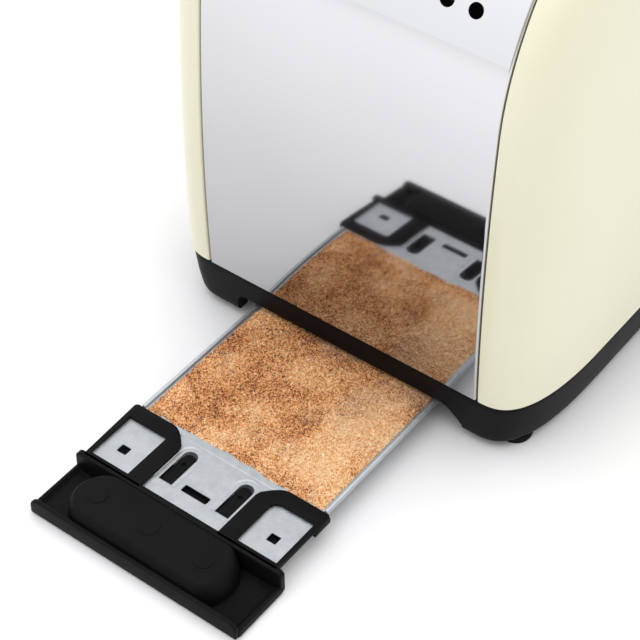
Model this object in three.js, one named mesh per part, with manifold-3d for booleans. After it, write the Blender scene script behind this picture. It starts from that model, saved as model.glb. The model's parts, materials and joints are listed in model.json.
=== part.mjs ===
// Pop-up toaster, two slots, with its crumb tray drawn out of the end.
// Millimetres, +Z up. +X points from the tray end to the lever end.
// The pieces are drawn from the middle of the body, with the worktop at WORKTOP_Z. The whole group
// is then moved so that Z = 0 is the worktop.
import * as THREE from 'three';
import { mergeVertices } from 'three/addons/utils/BufferGeometryUtils.js';
import Module from 'manifold-3d';

const wasm = await Module();
wasm.setup();

// ---- Driving dimensions -------------------------------------------------------------------
const WORKTOP_Z = -3.5;
const HALF_LENGTH = 143; // body, from its middle to the steel at the foot of each end
const SEAM_Y = 60; // half the width of the steel wrap
const JOIN_Z = 21.5; // where the casing meets the base
const CORNER = { y0: 60.5, reach: 21.5, depth: 57.4, power: 2 / 2.89, maxInset: 43 };
const TILT_AT_FOOT = -3.45; // degrees from vertical, outwards
const PROFILE_ARCS = [
  { radius: 938, sweep: 7.15, steps: 3 },
  { radius: 90, sweep: 35, steps: 5 },
  { radius: 50, sweep: 51.3, steps: 6 },
];
const WRAP_THICK = 0.8;
const PANEL_THICK = 2.2;

const SLOT = { y: 28, width: 34, halfLength: 70, corner: 6 };
const VENT = { count: 9, pitch: 10.7, radius: 2.7, fromEnd: 11.3 };

const BASE_TOP = JOIN_Z - 0.3;
const BASE_LEVELS = [ // height and inset from the casing's outline
  { z: 1, inset: 4.3 },
  { z: 1.8, inset: 3.2 },
  { z: 4, inset: 2.5 },
  { z: 9, inset: 1.7 },
  { z: BASE_TOP, inset: 0.6 },
];
const DECK_Z = 18.5;
const DECK_INSET = 4.4; // from the casing's outline to the inside of the base wall, at the deck
const RAIL = { y: 46.5, halfThick: 0.9, from: -108, to: 94.8, low: 3.5 };
const FOOT = { x: 126.4, y: 67.9, radius: 6.5, height: 4.2, peg: 3.2 };
const BASE_SCREW = { x: 100, y: 62, head: 3.5, shank: 1.5 };
const CORD_INLET = { y: 40, z: 12, sleeve: 5, flange: 6.6, bore: 3.4, from: 134 };
const NOTCH_HALF = [[53.5, -1], [53.5, 2.6], [51.3, 5.2], [48.2, 8.2], [44.6, 9.8]]; // y and z

const TRAY_OUT = 121; // how far the tray is drawn out
const LIP_X = -HALF_LENGTH - TRAY_OUT; // places on the tray, called u, are measured from here
const SHEET = { low: 4.8, high: 5.6, halfWidth: 41.8, front: 30.4, back: 235, lip: 7.5 };
const TROUGH = { low: -3.2, floor: -2, top: 0, front: 3.3, back: 29.9, halfWidth: 46.2, wall: 1.2 };
const LIP_PLATE = { thick: 1.7, top: 4, halfWidth: 45.7, corner: 3.5 };
const RIDGE = { thick: 2.5, top: 6.8, halfWidth: 44, corner: 2.4 };
const FRAME = { low: 5.7, top: 6.8, end: 58.3, inner: 17.2, outer: 43.8 };
const BULGE = { u: 16, halfLength: 35.6, radius: 11, top: 7, wall: 2 };
const TONGUE = { y: 12.6, radius: 2.9, end: 52.5, low: 2.1, high: 3.3 };

const WELL = { halfLength: 79.5, low: 21.5, top: 195 };
const HEATER = { outerY: 51.5, innerY: 4.5, halfLength: 79.2, low: 38, high: 188, ribs: 9 };
const GUARD = { offset: 18, low: 40, high: 184, wire: 2, halfLength: 82.5, uprights: 7 };
const RACK = { z: 97, halfLength: 70, reach: 91.4, finHalfWidth: 10, fins: 8 };
const ROD = { x: 100, y: 20, radius: 2.5, low: 21.6, high: 190 };
const BRACKET = { x: 92, thick: 1.5, halfWidth: 34, low: 93, high: 150 };
const LEVER = { z: 146, halfHeight: 4, halfWidth: 2, end: 156, travelDown: 58, travelUp: 12 };
const KNOB = { x: 147.8, depth: 21, halfWidth: 21, halfHeight: 9.5, corner: 6 };
const MAGNET = { x: 116, top: 50 };
const FASCIA = { low: 29, high: 75, halfWidth: 51, proud: 3.2, corner: 8 };
const DIAL = { y: 24, z: 52, radius: 16.5, x: 148.3, depth: 11 };
const BUTTON = { y: -26, z: [65, 52, 39], halfWidth: 9.6, halfHeight: 3.9, x: 146.6, depth: 3.4 };
const BOARD = { x: 131, thick: 1.6, halfWidth: 50, low: 24, high: 79 };
const SPRING = { x: 88, y: 0, low: 152, high: 188, radius: 3.2, wire: 0.6, turns: 9 };

// ---- Materials ----------------------------------------------------------------------------
function finish(color, roughness, metalness) {
  return new THREE.MeshStandardMaterial({ color, roughness, metalness });
}

const mirrorSteel = () => finish(0xc9cacc, 0.08, 1);
const creamPaint = () => finish(0xf0eed6, 0.3, 0);
const blackPlastic = () => finish(0x242326, 0.42, 0);
const galvanised = () => finish(0xc3cdd2, 0.38, 0.9);
const plainSteel = () => finish(0xa8abad, 0.35, 1);
const rubber = () => finish(0x1b1b1c, 0.85, 0);
const mica = () => finish(0xb9a887, 0.7, 0);
const copper = () => finish(0x9a4f2a, 0.4, 0.6);
const fibreglass = () => finish(0x1f5a3a, 0.55, 0);
const softTouch = () => finish(0x2d2d30, 0.6, 0);

// ---- Helpers ------------------------------------------------------------------------------
function solid(geometry) {
  const bare = geometry.clone();
  bare.deleteAttribute('normal');
  bare.deleteAttribute('uv');
  const merged = mergeVertices(bare, 1e-4);
  return new wasm.Manifold(new wasm.Mesh({
    numProp: 3,
    vertProperties: new Float32Array(merged.attributes.position.array),
    triVerts: new Uint32Array(merged.index.array),
  }));
}

function geometryOf(manifold) {
  const mesh = manifold.getMesh();
  const geometry = new THREE.BufferGeometry();
  geometry.setAttribute('position', new THREE.BufferAttribute(mesh.vertProperties, 3));
  geometry.setIndex(new THREE.BufferAttribute(mesh.triVerts, 1));
  geometry.computeVertexNormals();
  return geometry;
}

function box(x0, x1, y0, y1, z0, z1) {
  const geometry = new THREE.BoxGeometry(x1 - x0, y1 - y0, z1 - z0);
  geometry.translate((x0 + x1) / 2, (y0 + y1) / 2, (z0 + z1) / 2);
  return solid(geometry);
}

// A flat shape pushed along an axis. Its two coordinates are (y, z), (x, z) or (x, y).
function prism(shape, axis, from, to, curveSegments = 6) {
  const geometry = new THREE.ExtrudeGeometry(shape, {
    depth: to - from,
    bevelEnabled: false,
    curveSegments,
  });
  const turn = new THREE.Matrix4();
  if (axis === 'x') {
    turn.set(0, 0, 1, from, 1, 0, 0, 0, 0, 1, 0, 0, 0, 0, 0, 1);
  } else if (axis === 'y') {
    turn.set(1, 0, 0, 0, 0, 0, -1, to, 0, 1, 0, 0, 0, 0, 0, 1);
  } else {
    turn.makeTranslation(0, 0, from);
  }
  geometry.applyMatrix4(turn);
  return solid(geometry);
}

function circle(a, b, radius) {
  return new THREE.Shape().absarc(a, b, radius, 0, Math.PI * 2, false);
}

function roundRect(a0, a1, b0, b1, r) {
  const shape = new THREE.Shape();
  shape.moveTo(a0 + r, b0);
  shape.lineTo(a1 - r, b0);
  shape.absarc(a1 - r, b0 + r, r, -Math.PI / 2, 0, false);
  shape.lineTo(a1, b1 - r);
  shape.absarc(a1 - r, b1 - r, r, 0, Math.PI / 2, false);
  shape.lineTo(a0 + r, b1);
  shape.absarc(a0 + r, b1 - r, r, Math.PI / 2, Math.PI, false);
  shape.lineTo(a0, b0 + r);
  shape.absarc(a0 + r, b0 + r, r, Math.PI, Math.PI * 1.5, false);
  return shape;
}

function polygon(points) {
  return new THREE.Shape(points.map(([a, b]) => new THREE.Vector2(a, b)));
}

function union(solids) {
  return solids.reduce((whole, piece) => whole.add(piece));
}

// Joins rings of equal length into one closed skin, with a flat cap on the first and last.
function loft(rings) {
  const count = rings[0].length;
  const positions = rings.flat().flatMap((point) => point.toArray());
  const index = [];
  for (let level = 0; level < rings.length - 1; level += 1) {
    for (let k = 0; k < count; k += 1) {
      const a = level * count + k;
      const b = level * count + ((k + 1) % count);
      index.push(a, b, b + count, a, b + count, a + count);
    }
  }
  const last = (rings.length - 1) * count;
  for (let k = 1; k < count - 1; k += 1) {
    index.push(0, k + 1, k);
    index.push(last, last + k, last + k + 1);
  }
  const geometry = new THREE.BufferGeometry();
  geometry.setAttribute('position', new THREE.Float32BufferAttribute(positions, 3));
  geometry.setIndex(index);
  return solid(geometry);
}

const toaster = new THREE.Group();
// The origin is under the middle of the whole object, tray and lever included.
toaster.position.x = -(LIP_X + TROUGH.front + KNOB.x + KNOB.depth) / 2;
toaster.position.z = -WORKTOP_Z;

function addPart(name, manifold, material) {
  const mesh = new THREE.Mesh(geometryOf(manifold), material);
  mesh.name = name;
  toaster.add(mesh);
  return mesh;
}

// ---- The casing's two curves --------------------------------------------------------------
// Points up one end and over to the middle of the top, each moved inwards by the inset.
function endCurve(inset, footZ) {
  const points = [];
  let tilt = THREE.MathUtils.degToRad(TILT_AT_FOOT);
  let at = new THREE.Vector2(-HALF_LENGTH, JOIN_Z);
  for (const arc of PROFILE_ARCS) {
    const centre = at.clone().add(new THREE.Vector2(Math.cos(tilt), -Math.sin(tilt)).multiplyScalar(arc.radius));
    const sweep = THREE.MathUtils.degToRad(arc.sweep);
    const reach = arc.radius - inset;
    const firstStep = points.length === 0 ? 0 : 1;
    for (let step = firstStep; step <= arc.steps; step += 1) {
      const angle = tilt + (sweep * step) / arc.steps;
      points.push(new THREE.Vector2(centre.x - reach * Math.cos(angle), centre.y + reach * Math.sin(angle)));
    }
    tilt += sweep;
    at = new THREE.Vector2(centre.x - arc.radius * Math.cos(tilt), centre.y + arc.radius * Math.sin(tilt));
  }
  points[0].y = footZ;
  return points;
}

function wholeCurve(inset, footZ = JOIN_Z) {
  const rise = endCurve(inset, footZ);
  const fall = rise.map((point) => new THREE.Vector2(-point.x, point.y)).reverse();
  return [...rise, ...fall];
}

const TOP_Z = endCurve(0, JOIN_Z).at(-1).y;

// How the casing rounds from its end face to its side: y outwards, inset along the length.
function cornerPoint(angle) {
  return {
    y: CORNER.y0 + CORNER.reach * Math.sin(angle) ** CORNER.power,
    inset: CORNER.depth * (1 - Math.cos(angle) ** CORNER.power),
  };
}

function planRing(inset, z) {
  const steps = 7;
  const quarter = [];
  for (let step = 0; step <= steps; step += 1) {
    const corner = cornerPoint((Math.PI / 2) * (step / steps));
    quarter.push([HALF_LENGTH - corner.inset, corner.y]);
  }
  const reversed = [...quarter].reverse();
  const outline = [
    ...quarter,
    ...reversed.map(([x, y]) => [-x, y]),
    ...quarter.map(([x, y]) => [-x, -y]),
    ...reversed.map(([x, y]) => [x, -y]),
  ];
  const halfWidth = CORNER.y0 + CORNER.reach;
  const shrinkX = (HALF_LENGTH - inset) / HALF_LENGTH;
  const shrinkY = (halfWidth - inset) / halfWidth;
  return outline.map(([x, y]) => new THREE.Vector3(x * shrinkX, y * shrinkY, z));
}

// A band of the casing's curve between two insets, |y| below halfWidth.
function curvedBand(outerInset, innerInset, halfWidth) {
  const shape = new THREE.Shape([...wholeCurve(outerInset), ...wholeCurve(innerInset).reverse()]);
  return prism(shape, 'y', -halfWidth, halfWidth);
}

// ---- Casing -------------------------------------------------------------------------------
function makeSteelWrap() {
  const cuts = [];
  for (const side of [-1, 1]) {
    const slot = roundRect(-SLOT.halfLength, SLOT.halfLength,
      side * SLOT.y - SLOT.width / 2, side * SLOT.y + SLOT.width / 2, SLOT.corner);
    cuts.push(prism(slot, 'z', TOP_Z - 5, TOP_Z + 5));
    for (let k = 0; k < VENT.count; k += 1) {
      const y = (k - (VENT.count - 1) / 2) * VENT.pitch;
      const x = side * (HALF_LENGTH - VENT.fromEnd);
      const vent = new THREE.CylinderGeometry(VENT.radius, VENT.radius, 16, 12);
      vent.rotateX(Math.PI / 2);
      vent.rotateY(side * 0.95);
      vent.translate(x, y, TOP_Z - 31);
      cuts.push(solid(vent));
    }
  }
  const slotLow = LEVER.z - LEVER.halfHeight - LEVER.travelDown - 2;
  const slotHigh = LEVER.z + LEVER.halfHeight + LEVER.travelUp + 2;
  cuts.push(prism(roundRect(-3.5, 3.5, slotLow, slotHigh, 3), 'x', HALF_LENGTH - 25, HALF_LENGTH + 10));
  cuts.push(prism(circle(DIAL.y, DIAL.z, 4.2), 'x', HALF_LENGTH - 8, HALF_LENGTH + 8));
  for (const z of BUTTON.z) {
    cuts.push(box(HALF_LENGTH - 8, HALF_LENGTH + 8, BUTTON.y - 3, BUTTON.y + 3, z - 3, z + 3));
  }
  return curvedBand(0, WRAP_THICK, SEAM_Y).subtract(union(cuts));
}

function makeSidePanel() {
  const steps = 8;
  const lastAngle = Math.acos((1 - CORNER.maxInset / CORNER.depth) ** (1 / CORNER.power));
  const outer = [];
  const inner = [];
  for (let step = 0; step <= steps; step += 1) {
    const corner = cornerPoint((lastAngle * step) / steps);
    const lift = (y) => (point) => new THREE.Vector3(point.x, y, point.y);
    outer.push(wholeCurve(corner.inset).map(lift(corner.y)));
    const share = (CORNER.reach - PANEL_THICK) / CORNER.reach;
    const innerY = step === 0 ? CORNER.y0 - 3 : CORNER.y0 + (corner.y - CORNER.y0) * share;
    inner.push(wholeCurve(corner.inset + PANEL_THICK, JOIN_Z - 3).map(lift(innerY)));
  }
  return loft(outer).subtract(loft(inner));
}

function makeFascia() {
  const outline = roundRect(-FASCIA.halfWidth, FASCIA.halfWidth, FASCIA.low, FASCIA.high, FASCIA.corner);
  const cuts = BUTTON.z.map((z) => box(HALF_LENGTH - 8, HALF_LENGTH + 12,
    BUTTON.y - BUTTON.halfWidth - 0.4, BUTTON.y + BUTTON.halfWidth + 0.4,
    z - BUTTON.halfHeight - 0.4, z + BUTTON.halfHeight + 0.4));
  cuts.push(prism(circle(DIAL.y, DIAL.z, 4.2), 'x', HALF_LENGTH - 8, HALF_LENGTH + 12));
  const plate = prism(outline, 'x', HALF_LENGTH - 8, HALF_LENGTH + 12);
  return curvedBand(-FASCIA.proud, -0.3, SEAM_Y).intersect(plate).subtract(union(cuts));
}

// ---- Base ---------------------------------------------------------------------------------
function trayNotch() {
  const outline = [...NOTCH_HALF, ...NOTCH_HALF.map(([y, z]) => [-y, z]).reverse()];
  return prism(polygon(outline), 'x', -HALF_LENGTH - 5, -HALF_LENGTH + 33);
}

function atCorners(x, y, make) {
  return [-1, 1].flatMap((end) => [-1, 1].map((side) => make(end * x, side * y)));
}

// The wall of the base all round, with a pad inside each corner that holds a foot.
function makeBase() {
  const body = loft(BASE_LEVELS.map((level) => planRing(level.inset, level.z)));
  const inside = loft([
    planRing(8.6, -1),
    planRing(7.6, 5),
    planRing(DECK_INSET, DECK_Z),
    planRing(DECK_INSET, BASE_TOP + 1),
  ]);
  const pads = atCorners(FOOT.x, FOOT.y, (x, y) => prism(circle(x, y, FOOT.radius - 0.4), 'z',
    BASE_LEVELS[0].z, DECK_Z - 0.1, 8));
  const pegHoles = atCorners(FOOT.x, FOOT.y, (x, y) => prism(circle(x, y, FOOT.peg + 0.3), 'z', 0, 9, 5));
  const cordHole = prism(circle(CORD_INLET.y, CORD_INLET.z, CORD_INLET.sleeve + 0.35), 'x', 130, 150, 8);
  return body.subtract(inside).add(union(pads)).subtract(union(pegHoles)).subtract(trayNotch())
    .subtract(cordHole);
}

// The floor that the heating well stands on, with the bosses for the base screws.
function makeDeck() {
  const plate = loft([planRing(DECK_INSET + 0.2, DECK_Z), planRing(DECK_INSET + 0.2, BASE_TOP)]);
  const wellOpening = prism(roundRect(-76, 76, -44, 44, 4), 'z', DECK_Z - 1, BASE_TOP + 1);
  const { x, y } = BASE_SCREW;
  const bosses = atCorners(x, y, (bx, by) => prism(circle(bx, by, 5.5), 'z', 5, DECK_Z + 1, 5));
  const bores = atCorners(x, y, (bx, by) => prism(circle(bx, by, 1.9), 'z', 0, 16, 4));
  const heads = atCorners(x, y, (bx, by) => prism(circle(bx, by, 3.9), 'z', 0, 7.8, 4));
  return plate.subtract(wellOpening).add(union(bosses)).subtract(union([...bores, ...heads]));
}

function makeRail(side) {
  const { y, halfThick, from, to, low } = RAIL;
  return box(from, to, side * y - halfThick, side * y + halfThick, low, DECK_Z - 0.1);
}

function makeTrayStop() {
  return box(RAIL.to + 0.2, RAIL.to + 2.2, -RAIL.y - RAIL.halfThick, RAIL.y + RAIL.halfThick,
    RAIL.low, DECK_Z - 0.1);
}

function makeCordBushing() {
  const profile = [
    [CORD_INLET.bore, 0], [CORD_INLET.sleeve, 0], [CORD_INLET.sleeve, 9],
    [CORD_INLET.flange, 9.2], [CORD_INLET.flange - 0.6, 11.6], [CORD_INLET.bore, 12.4],
    [CORD_INLET.bore, 0],
  ].map(([r, z]) => new THREE.Vector2(r, z));
  const geometry = new THREE.LatheGeometry(profile, 16);
  geometry.rotateZ(-Math.PI / 2);
  geometry.translate(CORD_INLET.from, CORD_INLET.y, CORD_INLET.z);
  return solid(geometry);
}

function makeFoot() {
  const { radius, height, peg } = FOOT;
  const profile = [[0, 0], [radius - 0.8, 0], [radius, 0.8], [radius, height], [peg, height],
    [peg, height + 7], [0, height + 7]];
  const geometry = new THREE.LatheGeometry(profile.map(([r, z]) => new THREE.Vector2(r, z)), 20);
  geometry.rotateX(Math.PI / 2);
  return solid(geometry);
}

function makeBaseScrew() {
  const head = prism(circle(0, 0, BASE_SCREW.head), 'z', 5.4, 7.4, 4);
  const shank = prism(circle(0, 0, BASE_SCREW.shank), 'z', 7, 15.6, 3);
  const crossA = box(-2.2, 2.2, -0.5, 0.5, 5, 6.4);
  const crossB = box(-0.5, 0.5, -2.2, 2.2, 5, 6.4);
  return head.add(shank).subtract(crossA).subtract(crossB);
}

function makeBottomPlate() {
  const plate = prism(roundRect(-86, 94, -50, 50, 4), 'z', 2.6, 3.4, 3);
  const beads = [-1, 1].map((side) => box(-84, 92, side * 36 - 2, side * 36 + 2, 3.2, SHEET.low - 0.3));
  return plate.add(union(beads));
}

// ---- Crumb tray ---------------------------------------------------------------------------
function trayPrism(shape, low, high, curveSegments = 5) {
  return prism(shape, 'z', low, high, curveSegments).translate([LIP_X, 0, 0]);
}

function makeTraySheet() {
  const { front, back, halfWidth } = SHEET;
  const shape = polygon([[front, -halfWidth], [back, -halfWidth], [back, halfWidth], [front, halfWidth]]);
  const slot = roundRect(37.6, 40.8, -5.6, 5.6, 0.6);
  const holes = [slot];
  for (const side of [-1, 1]) {
    const y = side * TONGUE.y;
    holes.push(roundRect(37, TONGUE.end + 1, y - TONGUE.radius, y + TONGUE.radius, TONGUE.radius - 0.1));
    holes.push(roundRect(37.6, 41.2, side * 33 - 2, side * 33 + 2, 0.4));
  }
  const cuts = union(holes.map((hole) => trayPrism(hole, SHEET.low - 1, SHEET.high + 1, 3)));
  const lips = [-1, 1].map((side) => box(LIP_X + FRAME.end + 0.5, LIP_X + back,
    side * (halfWidth - 0.6) - 0.6, side * (halfWidth - 0.6) + 0.6, SHEET.low, SHEET.lip));
  const rearLip = box(LIP_X + back - 1.2, LIP_X + back, -halfWidth, halfWidth, SHEET.low, SHEET.lip);
  return trayPrism(shape, SHEET.low, SHEET.high).subtract(cuts).add(union([...lips, rearLip]));
}

// A plate across the tray with its two upper corners rounded.
function uprightPlate(from, thick, plate) {
  const { halfWidth, top, corner } = plate;
  const shape = roundRect(-halfWidth, halfWidth, TROUGH.low - corner, top, corner);
  const below = box(LIP_X, LIP_X + 40, -60, 60, TROUGH.low - 20, TROUGH.low);
  return prism(shape, 'x', LIP_X + from, LIP_X + from + thick, 4).subtract(below);
}

function troughRing(inset, halfWidth, z) {
  const { front, back } = TROUGH;
  const corner = 1.5;
  const half = [
    [front + inset, halfWidth - corner], [front + inset + corner, halfWidth],
    [back - inset - 2 * corner, halfWidth], [back - inset, halfWidth - 2 * corner],
  ];
  const ring = [...half.map(([u, y]) => [u, -y]), ...half.reverse()];
  return ring.map(([u, y]) => new THREE.Vector3(LIP_X + u, y, z));
}

function makeTrough() {
  const { low, floor, top, halfWidth, wall, back } = TROUGH;
  const outer = loft([troughRing(0.5, halfWidth - 0.2, low), troughRing(0, halfWidth - 0.4, top)]);
  const inside = loft([
    troughRing(wall, halfWidth - 3, floor),
    troughRing(wall, halfWidth - 1.6, top + 0.01),
    troughRing(wall, halfWidth - 1.6, top + 5),
  ]);
  const ribs = [-1, 1].map((side) => box(LIP_X + 23.6, LIP_X + back,
    side * 40.5 - 0.6, side * 40.5 + 0.6, floor - 0.5, floor + 0.6));
  return outer.subtract(inside).add(union(ribs));
}

function stadium(u, halfLength, radius) {
  return roundRect(u - radius, u + radius, -halfLength, halfLength, radius - 0.01);
}

function makeBulge() {
  const edge = 2.4;
  const geometry = new THREE.ExtrudeGeometry(stadium(BULGE.u, BULGE.halfLength - edge, BULGE.radius - edge), {
    depth: BULGE.top - TROUGH.low - edge,
    bevelThickness: edge,
    bevelSize: edge,
    bevelSegments: 3,
    curveSegments: 6,
  });
  geometry.translate(LIP_X, 0, TROUGH.low);
  const low = box(LIP_X, LIP_X + 30, -50, 50, TROUGH.low - 5, TROUGH.low);
  return solid(geometry).subtract(low);
}

function frameOutline(side) {
  const { end, inner, outer } = FRAME;
  const corner = [
    [29, inner], [end - 6.2, inner], [end - 3.1, inner + 2.8], [end, inner + 7.2],
    [end, outer - 1], [end - 1, outer], [29, outer],
  ];
  return polygon(corner.map(([u, y]) => [u, side * y]));
}

function windowOutline(side) {
  const corner = [[30.8, 24.2], [50.4, 24.2], [52, 25.8], [52, 41.4], [30.8, 41.4]];
  return polygon(corner.map(([u, y]) => [u, side * y]));
}

function makeTrayHandle() {
  const pieces = [
    makeTrough(),
    makeBulge(),
    uprightPlate(TROUGH.front, LIP_PLATE.thick, LIP_PLATE),
    uprightPlate(TROUGH.back - RIDGE.thick, RIDGE.thick, RIDGE),
  ];
  for (const side of [-1, 1]) {
    const frame = trayPrism(frameOutline(side), FRAME.low, FRAME.top);
    pieces.push(frame.subtract(trayPrism(windowOutline(side), FRAME.low - 1, FRAME.top + 1)));
    const skirt = [side * (SHEET.halfWidth + 0.4), side * FRAME.outer].sort((a, b) => a - b);
    pieces.push(box(LIP_X + 28, LIP_X + FRAME.end - 18, ...skirt, 2.6, FRAME.low + 0.3));
    pieces.push(box(LIP_X + 28, LIP_X + FRAME.end - 1, ...skirt, 4.4, FRAME.low + 0.3));
    const y = side * TONGUE.y;
    const tongue = roundRect(28, TONGUE.end, y - 2.7, y + 2.7, 2.6);
    pieces.push(trayPrism(tongue, TONGUE.low, TONGUE.high, 4));
  }
  pieces.push(box(LIP_X + 28, LIP_X + 46, -38, 38, TONGUE.low, TONGUE.high));
  const { u, halfLength, radius, top, wall } = BULGE;
  const recess = trayPrism(stadium(u, halfLength - wall, radius - wall), TROUGH.low - 1, top - wall, 4);
  return union(pieces).subtract(recess);
}

// ---- Chassis ------------------------------------------------------------------------------
function guardSlots() {
  const cuts = [];
  for (const side of [-1, 1]) {
    for (const hand of [-1, 1]) {
      for (const z of [GUARD.low + 1, GUARD.high - 1]) {
        const y = side * SLOT.y + hand * GUARD.offset;
        const towards = y - hand * 6.8;
        const [low, high] = [y + hand * 2.6, towards - hand * 1.6].sort((a, b) => a - b);
        cuts.push(box(-90, 90, low, high, z - 1.6, z + 1.6));
      }
    }
  }
  return union(cuts);
}

function makeChassisPlate(end) {
  const from = end > 0 ? WELL.halfLength : -WELL.halfLength - 1;
  let plate = box(from, from + 1, -57, 57, WELL.low, WELL.top).subtract(guardSlots());
  if (end > 0) {
    for (const side of [-1, 1]) {
      plate = plate.subtract(box(from - 1, from + 2, side * SLOT.y - 3, side * SLOT.y + 3, 34, 114));
    }
  }
  return plate;
}

function makeTopFrame() {
  const plate = box(-84, 84, -57, 57, 196, 197);
  const collars = [];
  const openings = [];
  for (const side of [-1, 1]) {
    const y = side * SLOT.y;
    const half = SLOT.width / 2;
    collars.push(prism(roundRect(-71.5, 71.5, y - half - 1.5, y + half + 1.5, 7), 'z', 196, 205.6, 3));
    openings.push(prism(roundRect(-70, 70, y - half, y + half, 6), 'z', 190, 210, 3));
  }
  return plate.add(union(collars)).subtract(union(openings));
}

function makeReflector(side) {
  const y = side * 56;
  return box(-79.2, 79.2, y - 0.5, y + 0.5, WELL.low, WELL.top);
}

function makeHeater(y) {
  const board = box(-HEATER.halfLength, HEATER.halfLength, y - 0.5, y + 0.5, HEATER.low, HEATER.high);
  const pitch = (HEATER.high - HEATER.low) / (HEATER.ribs + 1);
  const windings = [];
  for (let k = 1; k <= HEATER.ribs; k += 1) {
    const z = HEATER.low + k * pitch;
    windings.push(box(-68, 68, y - 0.9, y + 0.9, z - 1, z + 1));
  }
  return board.add(union(windings));
}

function makeGuard(side, hand) {
  const y = side * SLOT.y + hand * GUARD.offset;
  const half = GUARD.wire / 2;
  const bars = [];
  for (const z of [GUARD.low + half, GUARD.high - half]) {
    bars.push(box(-GUARD.halfLength, GUARD.halfLength, y - half, y + half, z - half, z + half));
  }
  for (let k = 0; k < GUARD.uprights; k += 1) {
    const x = (k - (GUARD.uprights - 1) / 2) * 21;
    bars.push(box(x - 0.9, x + 0.9, y - 0.9, y + 0.9, GUARD.low + 0.5, GUARD.high - 0.5));
  }
  return union(bars);
}

function makeGuideRod(side) {
  return prism(circle(ROD.x, side * ROD.y, ROD.radius), 'z', ROD.low, ROD.high, 4);
}

// ---- Carriage -----------------------------------------------------------------------------
function makeBracket() {
  const { x, thick, halfWidth, low, high } = BRACKET;
  const cheek = roundRect(-halfWidth, halfWidth, low, high, 6);
  const pieces = [prism(cheek, 'x', x, x + thick, 3)];
  for (const side of [-1, 1]) {
    pieces.push(box(x + thick - 0.2, 107, side * ROD.y - 6, side * ROD.y + 6, 112, 138));
  }
  pieces.push(box(x + thick - 0.2, MAGNET.x + 9, -6, 6, 112.6, 114.6));
  const bores = [-1, 1].map((side) => prism(circle(ROD.x, side * ROD.y, ROD.radius + 0.5), 'z', 100, 150, 4));
  return union(pieces).subtract(union(bores));
}

function makeRack(side) {
  const y = side * SLOT.y;
  const pieces = [box(-RACK.halfLength, RACK.reach, y - 1.2, y + 1.2, RACK.z - 2, RACK.z + 1)];
  for (let k = 0; k < RACK.fins; k += 1) {
    const x = -63 + (k * 126) / (RACK.fins - 1);
    const fin = polygon([[-RACK.finHalfWidth, 3.5], [-RACK.finHalfWidth + 1.6, 3.5], [0, 0],
      [RACK.finHalfWidth - 1.6, 3.5], [RACK.finHalfWidth, 3.5], [0, -2]]);
    pieces.push(prism(fin, 'x', x - 0.8, x + 0.8).translate([0, y, RACK.z]));
  }
  return union(pieces);
}

function makeKeeper() {
  const low = MAGNET.top + 0.5 + LEVER.travelDown;
  return box(MAGNET.x - 8.5, MAGNET.x + 8.5, -13, 13, low, low + 3.4);
}

function makeMagnetCore() {
  const back = box(MAGNET.x - 8, MAGNET.x + 8, -14, 14, 21.6, 27);
  const legs = [-11.5, 0, 11.5].map((y) => {
    const half = y === 0 ? 3.4 : 2.5;
    return box(MAGNET.x - 8, MAGNET.x + 8, y - half, y + half, 26, MAGNET.top);
  });
  return back.add(union(legs));
}

function makeMagnetCoil() {
  const outside = prism(roundRect(MAGNET.x - 13, MAGNET.x + 13, -8.4, 8.4, 3), 'z', 27.6, 46, 3);
  return outside.subtract(box(MAGNET.x - 8.5, MAGNET.x + 8.5, -3.9, 3.9, 20, 50));
}

function makeLeverArm() {
  const { z, halfHeight, halfWidth, end } = LEVER;
  const bar = box(BRACKET.x + BRACKET.thick + 0.3, end, -halfWidth, halfWidth, z - halfHeight, z + halfHeight);
  const foot = box(BRACKET.x + BRACKET.thick + 0.3, 98, -8, 8, z - halfHeight, z + halfHeight);
  return bar.add(foot);
}

function bevelledBlock(shape, x, depth, edge, curveSegments = 4) {
  const geometry = new THREE.ExtrudeGeometry(shape, {
    depth: depth - 2 * edge,
    bevelThickness: edge,
    bevelSize: edge,
    bevelOffset: -edge,
    bevelSegments: 2,
    curveSegments,
  });
  const turn = new THREE.Matrix4().set(0, 0, 1, x + edge, 1, 0, 0, 0, 0, 1, 0, 0, 0, 0, 0, 1);
  geometry.applyMatrix4(turn);
  return solid(geometry);
}

function makeLeverKnob() {
  const { x, depth, halfWidth, halfHeight, corner } = KNOB;
  const outline = roundRect(-halfWidth, halfWidth, LEVER.z - halfHeight, LEVER.z + halfHeight, corner);
  const socket = box(x - 1, LEVER.end + 0.4, -LEVER.halfWidth - 0.3, LEVER.halfWidth + 0.3,
    LEVER.z - LEVER.halfHeight - 0.3, LEVER.z + LEVER.halfHeight + 0.3);
  const trimSeat = box(x + depth - 1.6, x + depth + 1, -14.3, 14.3, LEVER.z - 3.3, LEVER.z + 3.3);
  return bevelledBlock(outline, x, depth, 2.2).subtract(socket).subtract(trimSeat);
}

function makeLeverTrim() {
  const outline = roundRect(-14, 14, LEVER.z - 3, LEVER.z + 3, 2.9);
  return prism(outline, 'x', KNOB.x + KNOB.depth - 1.3, KNOB.x + KNOB.depth - 0.1, 4);
}

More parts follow.
